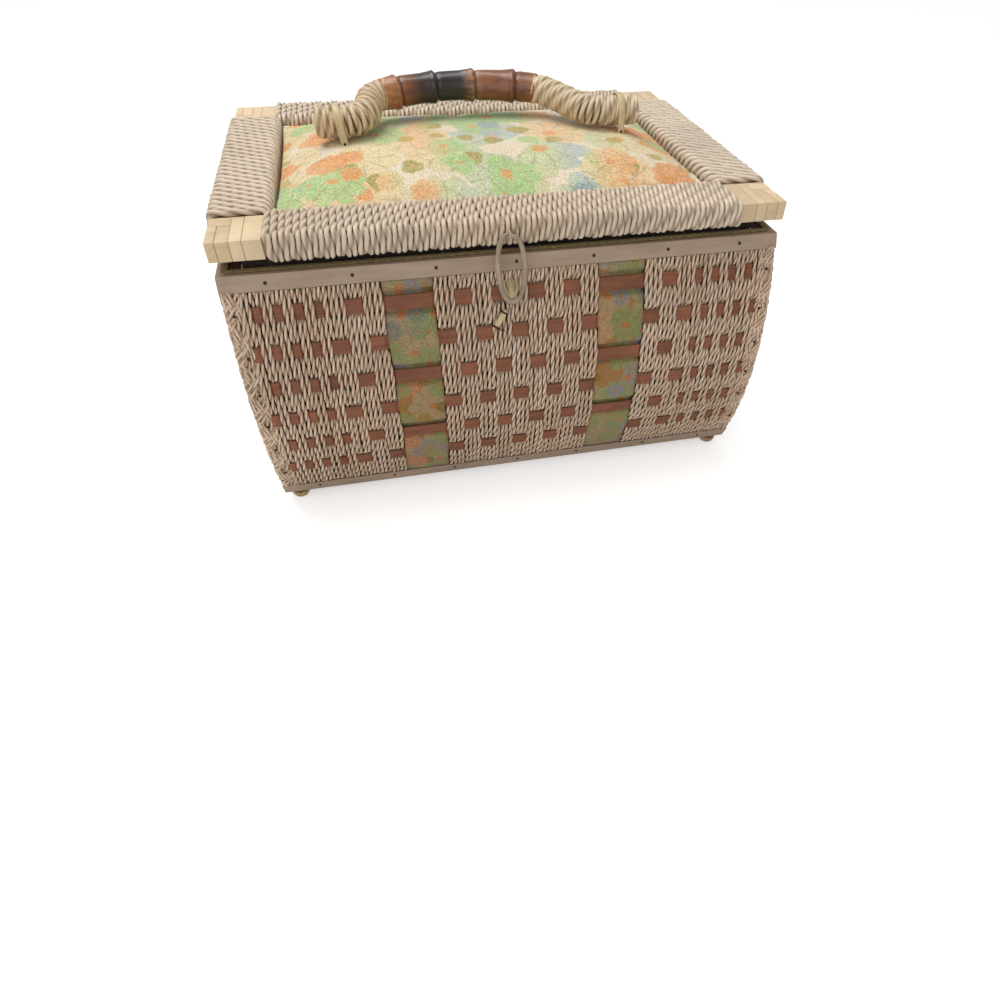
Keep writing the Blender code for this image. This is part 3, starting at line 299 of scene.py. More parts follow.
def blossom_group():
    """Scattered blossoms in one plane: their cover, drawn lines, hearts and a random pick for each."""
    n, given, result = node_group(
        "blossom", [("Vector", "Vector", None), ("Size", "Float", 0.03), ("Petals", "Float", 6.0),
                    ("Fill", "Float", 0.45), ("Shift", "Float", 0.0)],
        [("Cover", "Float"), ("Line", "Float"), ("Heart", "Float"), ("Pick", "Float")])
    spot = n.vector("SCALE", given["Vector"], scale=n.math("DIVIDE", 1.0, given["Size"]))
    spot = n.vector("ADD", spot, n.add("ShaderNodeCombineXYZ", X=given["Shift"], Y=given["Shift"]).outputs[0])
    shaky = n.add("ShaderNodeTexNoise", Vector=spot, Scale=3.0, Detail=3.0).outputs["Color"]
    spot = n.vector("ADD", spot, n.vector("SCALE", n.vector("SUBTRACT", shaky, (0.5, 0.5, 0.5)), scale=0.22))
    cells = n.add("ShaderNodeTexVoronoi", {"voronoi_dimensions": "2D"}, Vector=spot, Scale=1.0,
                  Randomness=0.75).outputs
    off = n.add("ShaderNodeSeparateXYZ", Vector=n.vector("SUBTRACT", spot, cells["Position"])).outputs
    away = n.math("SQRT", n.plus(n.times(off[0], off[0]), n.times(off[1], off[1])))
    pick = n.add("ShaderNodeSeparateColor", Color=cells["Color"]).outputs
    angle = n.plus(n.math("ARCTAN2", off[1], off[0]), n.times(pick[1], 6.28))
    lobe = n.math("ABSOLUTE", n.math("COSINE", n.times(angle, n.times(given["Petals"], 0.5))))
    size = n.times(given["Fill"], n.plus(0.7, n.times(pick[2], 0.45)))
    rim = n.times(size, n.plus(0.76, n.times(n.math("POWER", lobe, 0.5), 0.24)))
    inside = n.minus(rim, away)
    cover = n.times(inside, 28.0, clamp=True)
    border = n.minus(1.0, n.times(n.math("ABSOLUTE", inside), 38.0), clamp=True)
    vein = n.times(n.math("POWER", n.minus(1.0, lobe), 5.0), cover)
    inner = n.math("ABSOLUTE", n.minus(away, n.times(rim, 0.55)))
    ring = n.minus(1.0, n.times(inner, 42.0), clamp=True)
    drawn = n.math("MAXIMUM", n.math("MAXIMUM", border, vein), n.times(ring, 0.6))
    heart = n.minus(n.times(size, 0.19), away)
    n.set(result, "Cover", cover)
    n.set(result, "Line", drawn)
    n.set(result, "Heart", n.times(heart, 40.0, clamp=True))
    n.set(result, "Pick", pick[0])
    return n.tree


def floral_group(blossoms):
    """A faded floral print: layered blossoms and leaves on a stippled ground, with the cloth's weave."""
    n, given, result = node_group(
        "floral", [("Vector", "Vector", None), ("Ground", "Color", (0.8, 0.75, 0.65, 1)),
                   ("Size", "Float", 1.0), ("Lean", "Float", 0.0)], [("Color", "Color"), ("Height", "Float")])
    blue, deep_blue = srgb(176, 200, 206), srgb(140, 170, 188)
    green, pale_green = srgb(176, 216, 144), srgb(206, 220, 170)
    orange, peach, sand = srgb(240, 158, 82), srgb(247, 202, 150), srgb(238, 218, 168)
    olive, ochre, outline = srgb(164, 158, 70), srgb(204, 182, 92), srgb(120, 112, 84)
    layers = (                                      # size, petals, fill, shift, share and inks
        (0.042, 9.0, 0.70, 1.3, 0.95, (sand, peach, sand, pale_green, blue, pale_green)),
        (0.020, 3.0, 0.40, 7.7, 0.30, (olive, ochre, olive, ochre, olive, ochre)),
        (0.037, 9.0, 0.56, 4.1, 0.62, (orange, orange, peach, green, green, green)),
        (0.024, 7.0, 0.46, 9.9, 0.36, (orange, peach, green, green, deep_blue, blue)),
    )
    washed = n.noise(given["Vector"], 70.0, 3.0, 0.6)
    colour = given["Ground"]
    for size, petals, fill, shift, share, inks in layers:
        layer = n.group(blossoms, Vector=given["Vector"], Size=n.times(given["Size"], size), Petals=petals,
                        Fill=fill, Shift=shift)
        pick = n.math("FRACT", n.times(layer["Pick"], 7.31))
        ink = n.ramp(n.plus(pick, given["Lean"], clamp=True), [(i / 5, c) for i, c in enumerate(inks)])
        present = n.times(n.math("LESS_THAN", layer["Pick"], share), layer["Cover"])
        strength = n.times(present, n.plus(0.56, n.times(washed, 0.55)), clamp=True)
        colour = n.mix(strength, colour, ink)
        for part, weight, tone in (("Line", 0.48, outline), ("Heart", 0.75, orange)):
            colour = n.mix(n.times(n.times(layer[part], present), weight), colour, tone)
    stipple = n.noise(given["Vector"], 1150.0, 2.0, 0.8)
    speck = n.ramp(stipple, [(0.40, (0.50, 0.49, 0.44)), (0.58, (1.08, 1.08, 1.08))])
    bare = n.ramp(n.noise(given["Vector"], 900.0, 2.0, 0.7), [(0.5, (0, 0, 0)), (0.64, (0.6, 0.6, 0.6))])
    colour = n.mix(0.75, n.mix(bare, colour, given["Ground"]), speck, "MULTIPLY")
    stain = n.ramp(n.noise(given["Vector"], 14.0, 4.0, 0.6), [(0.3, (0.93, 0.90, 0.84)), (0.65, (1, 1, 1))])
    n.set(result, "Color", n.mix(1.0, colour, stain, "MULTIPLY"))
    n.set(result, "Height", stipple)
    return n.tree


FLORAL = floral_group(blossom_group())


def cloth_material(name, ground, size, by_place, tint):
    """Printed cotton. by_place: the print lies in plan, orange at the left and green at the middle."""
    mat, n, shader = material(name, 0.88, Specular_IOR_Level=0.2, Sheen_Weight=0.15)
    if by_place:
        spot = n.coords()
        x = n.add("ShaderNodeSeparateXYZ", Vector=spot).outputs[0]
        lean = n.times(n.math("COSINE", n.times(x, 30.0)), 0.36)
    else:
        spot = n.add("ShaderNodeAttribute", {"attribute_name": "print"}).outputs["Vector"]
        lean = 0.30
    printed = n.group(FLORAL, Vector=spot, Ground=ground, Size=size, Lean=lean)
    # For the pad the tint is the cloth's own colour; for the strips it is mostly painted shade.
    colour = n.mix(1.0, printed["Color"], tint, "MULTIPLY")
    return finished(mat, n, shader, colour, n.bump(printed["Height"], 0.0003, 0.4))


# Each cord's last colour is painted shade deep between its plies, and also the tint of its fine fibre specks.
BODY_CORD = cord_material("body_cord", srgb(250, 226, 198), srgb(228, 198, 168), srgb(130, 95, 70))
LID_CORD = cord_material("lid_cord", srgb(244, 229, 206), srgb(228, 205, 175), srgb(118, 86, 62), 0.42)
HANDLE_CORD = cord_material("handle_cord", srgb(246, 230, 200), srgb(230, 206, 168), srgb(138, 104, 72), 0.42)
GIMP = cord_material("gimp_thread", srgb(190, 170, 116), srgb(120, 104, 66), srgb(60, 48, 32), 0.6)
SPLINT = grained("splint", srgb(156, 98, 70), srgb(120, 72, 48), 0.55, (30, 30, 700), 0.3, 0.62)
WALL = grained("wall_board", srgb(84, 58, 42), srgb(58, 38, 26), 0.8)
LATH = grained("lath", srgb(184, 161, 140), srgb(164, 141, 120), 0.6, (25, 300, 300), 0.3, 0.82)
BOARD = grained("plywood", srgb(190, 160, 122), srgb(150, 118, 84), 0.7, (20, 260, 260))
CANE = grained("cane", srgb(184, 166, 146), srgb(140, 120, 100), 0.45, (300, 300, 60), 0.4, 0.8)
PALE_CANE = grained("pale_cane", srgb(222, 204, 164), srgb(184, 164, 122), 0.42, (300, 60, 60), 0.4, 0.85)
# The collar's near-black is partly the card's own colour and partly painted shade for the gap under the lid.
COLLAR_CARD_AND_SHADE = speckled("collar_card_and_painted_shade", srgb(62, 52, 48), srgb(30, 25, 24), 0.85, 700.0, 0.0003)
PLASTIC = speckled("tray_plastic", srgb(236, 226, 204), srgb(226, 214, 190), 0.42, 160.0, 0.0001)
BRASS = speckled("brass", srgb(206, 170, 96), srgb(150, 116, 58), 0.36, 220.0, 0.0001, Metallic=1.0)
FOOT = speckled("foot_wood", srgb(198, 168, 126), srgb(150, 118, 80), 0.45, 300.0, 0.0002)
NAIL = speckled("nail_steel", srgb(70, 52, 42), srgb(30, 20, 16), 0.5, 900.0, 0.0002, Metallic=0.6)
THREAD = speckled("dark_thread", srgb(72, 52, 40), srgb(34, 22, 18), 0.8, 1500.0, 0.0002)
LINING = quilted("quilted_lining", srgb(236, 216, 182), srgb(188, 160, 122), 0.028)
REED = reed_material()
PAD_COTTON = cloth_material("pad_cloth", srgb(240, 228, 206), 1.0, True, (0.93, 0.91, 0.89, 1))
# The strips' dark tint is painted shade for the shade they lie in, with a warmer hue that is the cloth's own.
STRIP_COTTON_PAINTED_SHADE = cloth_material("strip_cloth_painted_shade", srgb(206, 172, 104), 0.6, False, (0.58, 0.445, 0.45, 1))


def paint(mat, *nodes):
    """Give pieces that keep their frame's shape their finish."""
    for node in nodes:
        data = bpy.data.objects[node].data
        data.materials.clear()
        data.materials.append(mat)


paint(LATH, "top_lath", "bottom_lath")
paint(BOARD, "base_board", "lid_frame", "lid_board", "handle_core")
paint(WALL, "wall_board_front", "wall_board_back", "end_board_left", "end_board_right")
paint(COLLAR_CARD_AND_SHADE, "collar")
paint(LINING, "lining", "lid_lining")
paint(PLASTIC, "tray")
paint(BRASS, *(f"hinge_leaf_{owner}_{end}" for owner in ("body", "lid") for end in ("left", "right")))
paint(FOOT, *(f"foot_{y}_{x}" for x, y in CORNERS))


# Meshes
def unit(vectors):
    """The same directions, each of length 1."""
    return vectors / np.linalg.norm(vectors, axis=-1, keepdims=True)


def heading(line):
    """The way a line goes at each of its points."""
    return unit(np.gradient(line, axis=0))


def square_to(line, refs):
    """Two directions across a line at its points: the references squared up, and the one beside them."""
    way = heading(line)
    side = unit(refs - way * np.sum(way * refs, axis=1, keepdims=True))
    return side, np.cross(way, side)


def even(path, step):
    """The same line with its points an even step apart, with each point's distance along it."""
    path = np.asarray(path, float)
    along = np.concatenate([[0], np.cumsum(np.linalg.norm(np.diff(path, axis=0), axis=1))])
    count = max(3, int(round(along[-1] / step)) + 1)
    spots = np.linspace(0, along[-1], count)
    return np.stack([np.interp(spots, along, path[:, k]) for k in range(3)], 1), spots


def store(mesh, name, values, kind="FLOAT"):
    """Keep a value, or a vector, for each point of a mesh."""
    data = mesh.attributes.new(name, kind, "POINT").data
    data.foreach_set("value" if kind == "FLOAT" else "vector", np.asarray(values, np.float32).ravel())


def new_object(name, verts, faces, mat=None, smooth=True, **values):
    """A piece from its points and faces, with a stored value for each point under each further name."""
    mesh = bpy.data.meshes.new(name)
    mesh.from_pydata(np.asarray(verts, float).tolist(), [], faces)
    mesh.update()
    if smooth:
        mesh.shade_smooth()
    for key, stored in values.items():
        store(mesh, key, stored)
    if mat:
        mesh.materials.append(mat)
    obj = bpy.data.objects.new(name, mesh)
    bpy.context.scene.collection.objects.link(obj)
    return obj


def applied(obj):
    """Make the result of a piece's modifiers its own mesh, and take them off."""
    mesh = bpy.data.meshes.new_from_object(obj.evaluated_get(bpy.context.evaluated_depsgraph_get()))
    obj.modifiers.clear()
    obj.data = mesh
    mesh.shade_smooth()
    return obj


def dress(obj, body, *nodes, slot=None):
    """Put a piece on its body in the place of nodes. slot is not used."""
    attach(obj, body)
    if nodes:
        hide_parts(*nodes)
    return obj


def merged(name, parts, mat, smooth=True):
    """One piece from several pairs of points and faces."""
    verts, faces, base = [], [], 0
    for points, polygons in parts:
        verts.append(np.asarray(points))
        faces += [tuple(base + i for i in polygon) for polygon in polygons]
        base += len(points)
    return new_object(name, np.concatenate(verts), faces, mat, smooth)


def strip_mesh(loops):
    """Points and quads of one closed band from its rows of points, with flat ends."""
    count, sides = len(loops[0]), len(loops)
    faces = []
    for i in range(count - 1):
        for j in range(sides):
            k = (j + 1) % sides
            faces.append((i * sides + j, i * sides + k, (i + 1) * sides + k, (i + 1) * sides + j))
    faces += [tuple(range(sides))[::-1], tuple((count - 1) * sides + j for j in range(sides))]
    return np.stack(loops, 1).reshape(-1, 3), faces


def grid(rows, cols, base=0, under=False):
    """Quads over points that are numbered row by row from base, turned over where they face under."""
    corners = (base + row * cols + col for row in range(rows - 1) for col in range(cols - 1))
    return [(a, a + 1, a + cols + 1, a + cols)[::-1 if under else 1] for a in corners]


def border(rows, cols):
    """The numbers of such points once round the edge, first along the first row."""
    numbers = np.arange(rows * cols).reshape(rows, cols)
    return np.concatenate([numbers[0, :-1], numbers[:-1, -1], numbers[-1, :0:-1], numbers[:0:-1, 0]]).tolist()


def band(above, below):
    """Quads between two closed rings of points, given by their numbers."""
    return list(zip(above, below, below[1:] + below[:1], above[1:] + above[:1]))


def sweep(points, radii, refs=ALONG_X, sides=12, flat=1.0):
    """A round or flattened bar along points, closed at both ends."""
    points = np.asarray(points, float)
    side, out = square_to(points, refs)
    radii = np.broadcast_to(radii, (len(points),))
    around = ((radii * math.cos(t), radii * flat * math.sin(t)) for t in 2 * np.pi * np.arange(sides) / sides)
    return strip_mesh([points + side * across[:, None] + out * up[:, None] for across, up in around])


def section(sides, valley):
    """Two plies pressed together, as radii round the cord. valley: how deep the groove between them is."""
    a = 2 * np.pi * np.arange(sides) / sides
    plies = 0.42 * np.abs(np.cos(a)) + np.sqrt(0.58 ** 2 - (0.42 * np.sin(a)) ** 2)
    return a, 1 - valley * (1 - plies)


def twisted(name, lines, mat, radius, lay, step, sides=8, valley=0.85):
    """Two-ply cords as one piece. Each line is its points and the direction or directions across it.

    The rings turn with the lay, so that the ridges of the plies run along the edges. Points are metres,
    and radius, lay and step are millimetres.
    """
    angles, profile = section(sides, valley)
    verts, faces, shade, depth = [], [], [], []
    base = 0
    for points, refs in lines:
        spots, along = even(points, step * MM)
        count = len(spots)
        if np.ndim(refs) == 2:
            old, new = np.linspace(0, 1, len(refs)), np.linspace(0, 1, count)
            refs = np.stack([np.interp(new, old, refs[:, k]) for k in range(3)], 1)
        side, out = square_to(spots, refs)
        turn = 2 * np.pi * along / (lay * MM) + rng.uniform(0, 2 * np.pi)
        a = angles[None, :] + turn[:, None]
        swell = 1 + 0.05 * np.sin(along / 0.011 + rng.uniform(0, 6))
        r = (profile * radius * MM)[None, :] * swell[:, None]
        ring = spots[:, None, :] + (np.cos(a) * r)[..., None] * side[:, None, :] \
            + (np.sin(a) * r)[..., None] * out[:, None, :]
        verts.append(ring.reshape(-1, 3))
        i = np.arange(count - 1)[:, None] * sides
        j = np.arange(sides)[None, :]
        k = (j + 1) % sides
        faces.append(base + np.stack([i + j, i + k, i + sides + k, i + sides + j], -1).reshape(-1, 4))
        own = rng.normal(0.5, 0.22)
        drift = np.interp(along, np.linspace(0, along[-1], 7), rng.uniform(-1, 1, 7))
        shade.append(np.repeat(np.clip(own + 0.25 * drift, 0, 1), sides))
        # How deep between the plies each point lies, which the cord materials paint as shade.
        depth.append(np.tile((1 - profile) / 0.6 / valley, count))
        base += count * sides
    return new_object(name, np.concatenate(verts), np.concatenate(faces).tolist(), mat,
                      shade=np.concatenate(shade), depth=np.concatenate(depth))


def place_mm(points):
    """Points in millimetres about the middle plane, as metres in the frame."""
    return np.asarray(points, float) * MM + np.array([0, MID_Y, 0])


# The body's bulged outline. s is the way down the bulge from the rim
ARC, BULGE, BELLY_Z, RIM_Z = -56.5, 197.5, 103.5, 176.6
RIM_ANGLE = math.asin((RIM_Z - BELLY_Z) / BULGE)
MAT_TOP, MAT_LOW = 9.67, 162.15                     # below the rim
TOP_MARGIN, LOW_MARGIN = 12.3, 23.6                 # of the outer splints
SPLINT_PITCH = (MAT_LOW - MAT_TOP - TOP_MARGIN - LOW_MARGIN) / 5
SPLINTS = [MAT_TOP + TOP_MARGIN + SPLINT_PITCH * i for i in range(6)]
END_X, END_INSET, END_HALF = 169.0, 9.8, 125        # of the end mats: face, edge below the bulge, half width
FRONT, BEHIND = 1.35, 3.55                          # of a cord's middle below the woven face
CLOTH = {"left": (-81, -51), "right": (51, 81)}
FLANK, FLANK_END, MIDDLE = 81.3, 160.5, 50.7        # where the cords of the outer and middle fields end
WIDE_SHARE = 0.42                                   # of a flank's width, in its three wide columns
SPLINT_HALF, SPLINT_ARRIS, SPLINT_SKIN = 4.5, 4.2, 0.55    # half width, the same of its flats, half thickness
SPLINT_DEEP, SPLINT_LIFT = 3.45, 2.1                # inset behind the cords, and less of it in front of them


def bulge(s, inset=0.0):
    """Depth and height of the front's face, at s down the bulge and inset below it."""
    angle = RIM_ANGLE - np.asarray(s, float) / BULGE
    return -(ARC + (BULGE - inset) * np.cos(angle)), BELLY_Z + (BULGE - inset) * np.sin(angle)


def half_depth(z, inset=0.0):
    """How far the bulge lies from the middle plane at a height."""
    return ARC + np.sqrt((BULGE - inset) ** 2 - (np.asarray(z) - BELLY_Z) ** 2)


def depth_at(z):
    """The way down the bulge from the rim to a height."""
    return BULGE * (RIM_ANGLE - math.asin((z - BELLY_Z) / BULGE))


def outward(side, s):
    """The way in which the front or the back faces there."""
    angle = RIM_ANGLE - s / BULGE
    return (0, -math.cos(angle) if side == "front" else math.cos(angle), math.sin(angle))


def side_points(side, u, s, inset):
    """A point of the woven face of one side: u across it, s down it, inset below it."""
    if side in ("front", "back"):
        y, z = bulge(s, inset)
        return np.stack([u + 0 * s, y if side == "front" else -y, z], -1)
    sign = -1 if side == "left" else 1
    z = bulge(s)[1]
    return np.stack([sign * (END_X - inset) + 0 * s, u * half_depth(z, END_INSET), z + 0 * u], -1)


def ease(x):
    """0 below 0, 1 above 1 and smooth between."""
    x = np.clip(x, 0, 1)
    return x * x * (3 - 2 * x)


def behind(s, rows, hold=4.6, fall=3.4):
    """1 where a strand runs behind one of the splints, 0 where it lies in front, smooth between."""
    amount = np.zeros_like(s)
    for row in rows:
        amount = np.maximum(amount, ease((hold + fall - np.abs(s - SPLINTS[row])) / fall))
    return amount


def wobble(s, size):
    """A slow sideways drift, as hand-laid cord has."""
    knots = np.linspace(s[0], s[-1], 8)
    return np.interp(s, knots, rng.normal(0, size, 8))


def columns(edges, strands, first=0):
    """Columns between edges as (low, high, strands, phase). The phase tells which splints go in front."""
    return [(a, b, strands, (i + first) % 2) for i, (a, b) in enumerate(zip(edges, edges[1:]))]


def fields_of(side):
    """The woven fields of a side, by the ends of their names."""
    if side in ("left", "right"):
        return {"": columns(np.linspace(-1, 1, 14), 7)}
    wide = FLANK + (FLANK_END - FLANK) * WIDE_SHARE / 3 * np.arange(4)
    narrow, strands = (8, 2) if side == "front" else (4, 4)
    right = columns(wide, 4, 1) + columns(np.linspace(wide[-1], FLANK_END, narrow + 1), strands)
    left = [(-high, -low, count, phase) for low, high, count, phase in reversed(right)]
    return {"_left": left, "_middle": columns(np.linspace(-MIDDLE, MIDDLE, 10), 4, 1), "_right": right}


def weave_side(side):
    """The upright cords of one side. Each goes behind every other splint and drifts a little."""
    at_end = side in ("left", "right")
    level = ALONG_Y if at_end else ALONG_X
    s = np.arange(MAT_TOP - 0.5, MAT_LOW + 0.5, 1.2)
    for part, members in fields_of(side).items():
        lines = []
        for low, high, strands, phase in members:
            hidden = behind(s, range(phase, 6, 2))
            spread = 1 + 0.15 * behind(s, range(1 - phase, 6, 2), 4.0, 4.5) - 0.10 * hidden
            for i in range(strands):
                u = (low + high) / 2 + (high - low) * ((i + 0.5) / strands - 0.5) * spread
                drift = wobble(s, 0.13) / (END_HALF if at_end else 1)
                inset = FRONT + (BEHIND - FRONT) * hidden + np.abs(wobble(s, 0.12))
                lines.append((place_mm(side_points(side, u + drift, s, inset)), level))
        obj = twisted(f"woven_{side}{part}", lines, BODY_CORD, radius=1.44, lay=16, step=1.15, valley=0.75)
        dress(obj, "basket", "mat_" + side)


def splint_band(side, row):
    """One splint along one side: out between the cords in its own columns and over the cloth's edges."""
    at_end = side in ("left", "right")
    reach, one_mm = (1.0, 1 / END_HALF) if at_end else (160.0, 1.0)
    u = np.linspace(-reach, reach, 260)
    front = np.zeros_like(u)
    for low, high, _, phase in sum(fields_of(side).values(), []):
        if row % 2 == phase:
            middle, half = (low + high) / 2, (high - low) / 2
            front = np.maximum(front, ease((half + 0.8 * one_mm - np.abs(u - middle)) / (1.6 * one_mm)))
    for low, high in () if at_end else CLOTH.values():
        away = np.abs(u - (low + high) / 2)
        if row % 2 == 0:
            front = np.maximum(front, ease((high - low) / 2 + 0.3 - away))
        else:
            inside = ease((high - low + 4) / 2 - away)
            front = np.where(inside > 0, 0.45 * inside, front)
    inset = SPLINT_DEEP - SPLINT_LIFT * front
    outline = ((-SPLINT_HALF, 0), (-SPLINT_ARRIS, -SPLINT_SKIN), (SPLINT_ARRIS, -SPLINT_SKIN),
               (SPLINT_HALF, 0), (SPLINT_ARRIS, SPLINT_SKIN), (-SPLINT_ARRIS, SPLINT_SKIN))
    return strip_mesh([side_points(side, u, np.full_like(u, SPLINTS[row] + down), inset + deeper)
                       for down, deeper in outline])


for side_name in SIDES:
    weave_side(side_name)
for row_number in range(6):
    bands = [splint_band(side_name, row_number) for side_name in SIDES]
    piece = merged(f"woven_splint_{row_number + 1}", [(place_mm(verts), faces) for verts, faces in bands],
                   SPLINT, smooth=False)
    dress(piece, "basket", f"splint_{row_number + 1}")


# Cord wound round the lid's rails
RAIL = {"front": (-128.0, -94.2), "back": (94.2, 128.0), "left": (-168.7, -139.8), "right": (139.8, 168.7)}
RAIL_LOW, RAIL_TOP, WINDING_OUT, WINDING_BEND = 187.1, 195.7, 2.05, 3.4
LONG_RUN, SHORT_RUN = (139.6, 70), (92.6, 47)       # half the length of a winding, and its turns
WINDINGS = {"front": LONG_RUN, "back": LONG_RUN, "left": SHORT_RUN, "right": SHORT_RUN}


def rounded_turn(low, high, base, top, bend, points=6):
    """One turn round a rail as (across, z), starting under its middle."""
    turn = [((low + high) / 2, base)]
    for cx, cz, start in ((high - bend, base + bend, -90), (high - bend, top - bend, 0),
                          (low + bend, top - bend, 90), (low + bend, base + bend, 180)):
        for i in range(points):
            a = math.radians(start + 90 * i / (points - 1))
            turn.append((cx + bend * math.cos(a), cz + bend * math.sin(a)))
    return turn


def rail_winding(side, reach, turns):
    """One cord wound round a rail of the lid, each turn a little off its pitch."""
    low, high = RAIL[side]
    level = side in ("front", "back")
    turn = rounded_turn(low - WINDING_OUT, high + WINDING_OUT, RAIL_LOW - WINDING_OUT, RAIL_TOP + WINDING_OUT,
                        WINDING_BEND)
    pitch = 2 * reach / turns
    points = []
    for number in range(turns):
        slip, lift = rng.normal(0, 0.10), rng.uniform(-0.12, 0.12)
        for k, (across, z) in enumerate(turn):
            run = -reach + pitch * (number + k / len(turn)) + slip * math.sin(math.pi * k / len(turn))
            z += lift if z > RAIL_TOP else 0
            points.append((run, across, z) if level else (across, run, z))
    obj = twisted(f"cord_winding_{side}", [(place_mm(points), ALONG_X if level else ALONG_Y)], LID_CORD,
                  radius=2.34, lay=23, step=1.2, sides=10, valley=0.8)
    dress(obj, "lid", "winding_" + side)


for side_name in SIDES:
    rail_winding(side_name, *WINDINGS[side_name])


# Handle
AXIS_Z, TILT, REACH, SAG = 217.5, math.radians(12), 43.0, 8.5
GRIP_ENDS, FEET, BEND = (-61.0, 47.0), (-107.0, 112.0), 17.0
GRIP_LENGTH, GRIP_RADIUS, JOINTS = 112, 9.3, (0.105, 0.34, 0.585, 0.84)      # joints as shares of the length
END_SLOPE = math.atan2(4 * SAG, GRIP_ENDS[1] - GRIP_ENDS[0])
WINDING_PITCH, WINDING_RADIUS = 3.45, 7.5


def grip_reach(x):
    """How far the grip's middle line lies from the handle's axis: most at its middle."""
    middle, half = sum(GRIP_ENDS) / 2, (GRIP_ENDS[1] - GRIP_ENDS[0]) / 2
    return REACH - SAG * ((x - middle) / half) ** 2


def riser(foot_end, grip_end, rise):
    """Middle line of the wound part, from the foot's end to the grip, in the handle's own plane."""
    inward = 1 if grip_end > foot_end else -1
    run, height = abs(grip_end - foot_end), grip_reach(grip_end)
    back = BEND * (math.cos(END_SLOPE) - math.cos(rise))
    slant = (height - BEND * (1 - math.cos(rise)) - back) / math.sin(rise)
    foot = run - BEND * (2 * math.sin(rise) - math.sin(END_SLOPE)) - slant * math.cos(rise)
    points = [(0, 0), (foot / 2, 0), (foot, 0)]
    points += [(foot + BEND * math.sin(a), BEND * (1 - math.cos(a))) for a in np.linspace(0, rise, 9)[1:]]
    x, r = points[-1][0] + slant * math.cos(rise), points[-1][1] + slant * math.sin(rise)
    points.append((x, r))
    points += [(x + BEND * (math.sin(rise) - math.sin(a)), r + BEND * (math.cos(a) - math.cos(rise)))
               for a in np.linspace(rise, END_SLOPE, 9)[1:]]
    return np.array([(foot_end + inward * u, v) for u, v in points])


def tilted(x, r, off):
    """Points of the handle: along its axis, out from it in its tilted plane, and off that plane."""
    c, s = math.cos(TILT), math.sin(TILT)
    return np.stack([x, r * c - off * s, AXIS_Z + r * s + off * c], -1)


def handle_winding(side, foot_end, grip_end, rise):
    """One cord: two turns that close the foot's end, and then a helix up to the grip."""
    line, along = even(np.pad(riser(foot_end, grip_end, rise), ((0, 0), (0, 1))), 0.5)
    way = heading(line)
    inward = 1 if grip_end > foot_end else -1
    start = 1.8
    t = np.arange(0, (along[-1] + 1 - start) / WINDING_PITCH, 1 / 30)
    run = np.clip(start + t * WINDING_PITCH, 0, along[-1])
    x, r = (np.interp(run, along, line[:, k]) for k in (0, 1))
    wx, wr = (np.interp(run, along, way[:, k]) for k in (0, 1))
    a = 2 * np.pi * t * inward
    across = np.cos(a) * WINDING_RADIUS
    helix = tilted(x - wr * across, r + wx * across, np.sin(a) * WINDING_RADIUS)
    refs = np.stack([wx, wr * math.cos(TILT), wr * math.sin(TILT)], -1)
    turn = np.arange(-2.0, 0, 1 / 24)
    reach, a = WINDING_RADIUS + turn * 3.4, 2 * np.pi * turn * inward
    cap = tilted(np.full_like(turn, foot_end + inward * 1.5), np.cos(a) * reach, np.sin(a) * reach)
    points = np.concatenate([cap, helix])
    refs = np.concatenate([np.tile(refs[0], (len(turn), 1)), refs])
    obj = twisted(f"cord_on_handle_{side}", [(place_mm(points), refs)], HANDLE_CORD,
                  radius=2.2, lay=26, step=1.1, sides=10, valley=0.5)
    dress(obj, "handle", f"handle_winding_{side}")


def make_grip():
    """The bamboo root: joints with a raised lip and a groove, swellings between, ends turned in."""
    count, sides = 150, 40
    share = np.linspace(0, 1, count)
    x = GRIP_ENDS[0] - 2 + (GRIP_ENDS[1] - GRIP_ENDS[0] + 4) * share
    r = grip_reach(x)
    radius = GRIP_RADIUS + 0.25 * np.sin(9.0 * share + 1)
    groove = np.zeros(count)
    for joint in JOINTS:
        d = (share - joint) * GRIP_LENGTH
        radius += 0.95 * np.exp(-(d / 1.7) ** 2) + 0.55 * np.exp(-((d + 3.2) / 3.4) ** 2)
        radius -= 0.75 * np.exp(-((d - 2.4) / 1.1) ** 2)
        groove += np.exp(-((d - 2.3) / 1.2) ** 2) + 0.4 * np.exp(-((d + 1.9) / 0.8) ** 2)
    radius *= np.minimum(1, 0.80 + 0.20 * ease(np.minimum(share, 1 - share) * GRIP_LENGTH / 2.2))
    way = heading(np.stack([x, r], 1))
    loops = []
    for a in 2 * np.pi * np.arange(sides) / sides:
        around = radius * (1 + 0.018 * np.sin(3 * a + 6 * share) + 0.012 * np.sin(5 * a - 11 * share))
        loops.append(tilted(x - way[:, 1] * math.cos(a) * around, r + way[:, 0] * math.cos(a) * around,
                            math.sin(a) * around))
    points, faces = strip_mesh(loops)
    obj = new_object("bamboo_root", place_mm(points), faces, bamboo_material(),
                     along=np.repeat(share, sides), joint=np.repeat(np.clip(groove, 0, 1), sides))
    dress(obj, "handle", "bamboo_grip")


handle_winding("left", FEET[0], GRIP_ENDS[0] + 1.5, math.radians(80))
handle_winding("right", FEET[1], GRIP_ENDS[1] - 1.5, math.radians(50))
make_grip()


# The stuffed panel of the lid
PANEL_X, PANEL_Y, PANEL_PULL, CORNER_SPREAD = 135.2, 89.6, 1.6, 1.35
PAD_BOTTOM, PAD_RIM, PAD_TOP = 186.6, 193.0, 207.9
DRAWN_RISE, SEWN_RISE, MOST_BLOWN = 14.6, 10.5, 6.0     # of the crown: drawn, or sewn and then blown out
UNDERSIDE_EDGES = (191.4, 189.0)


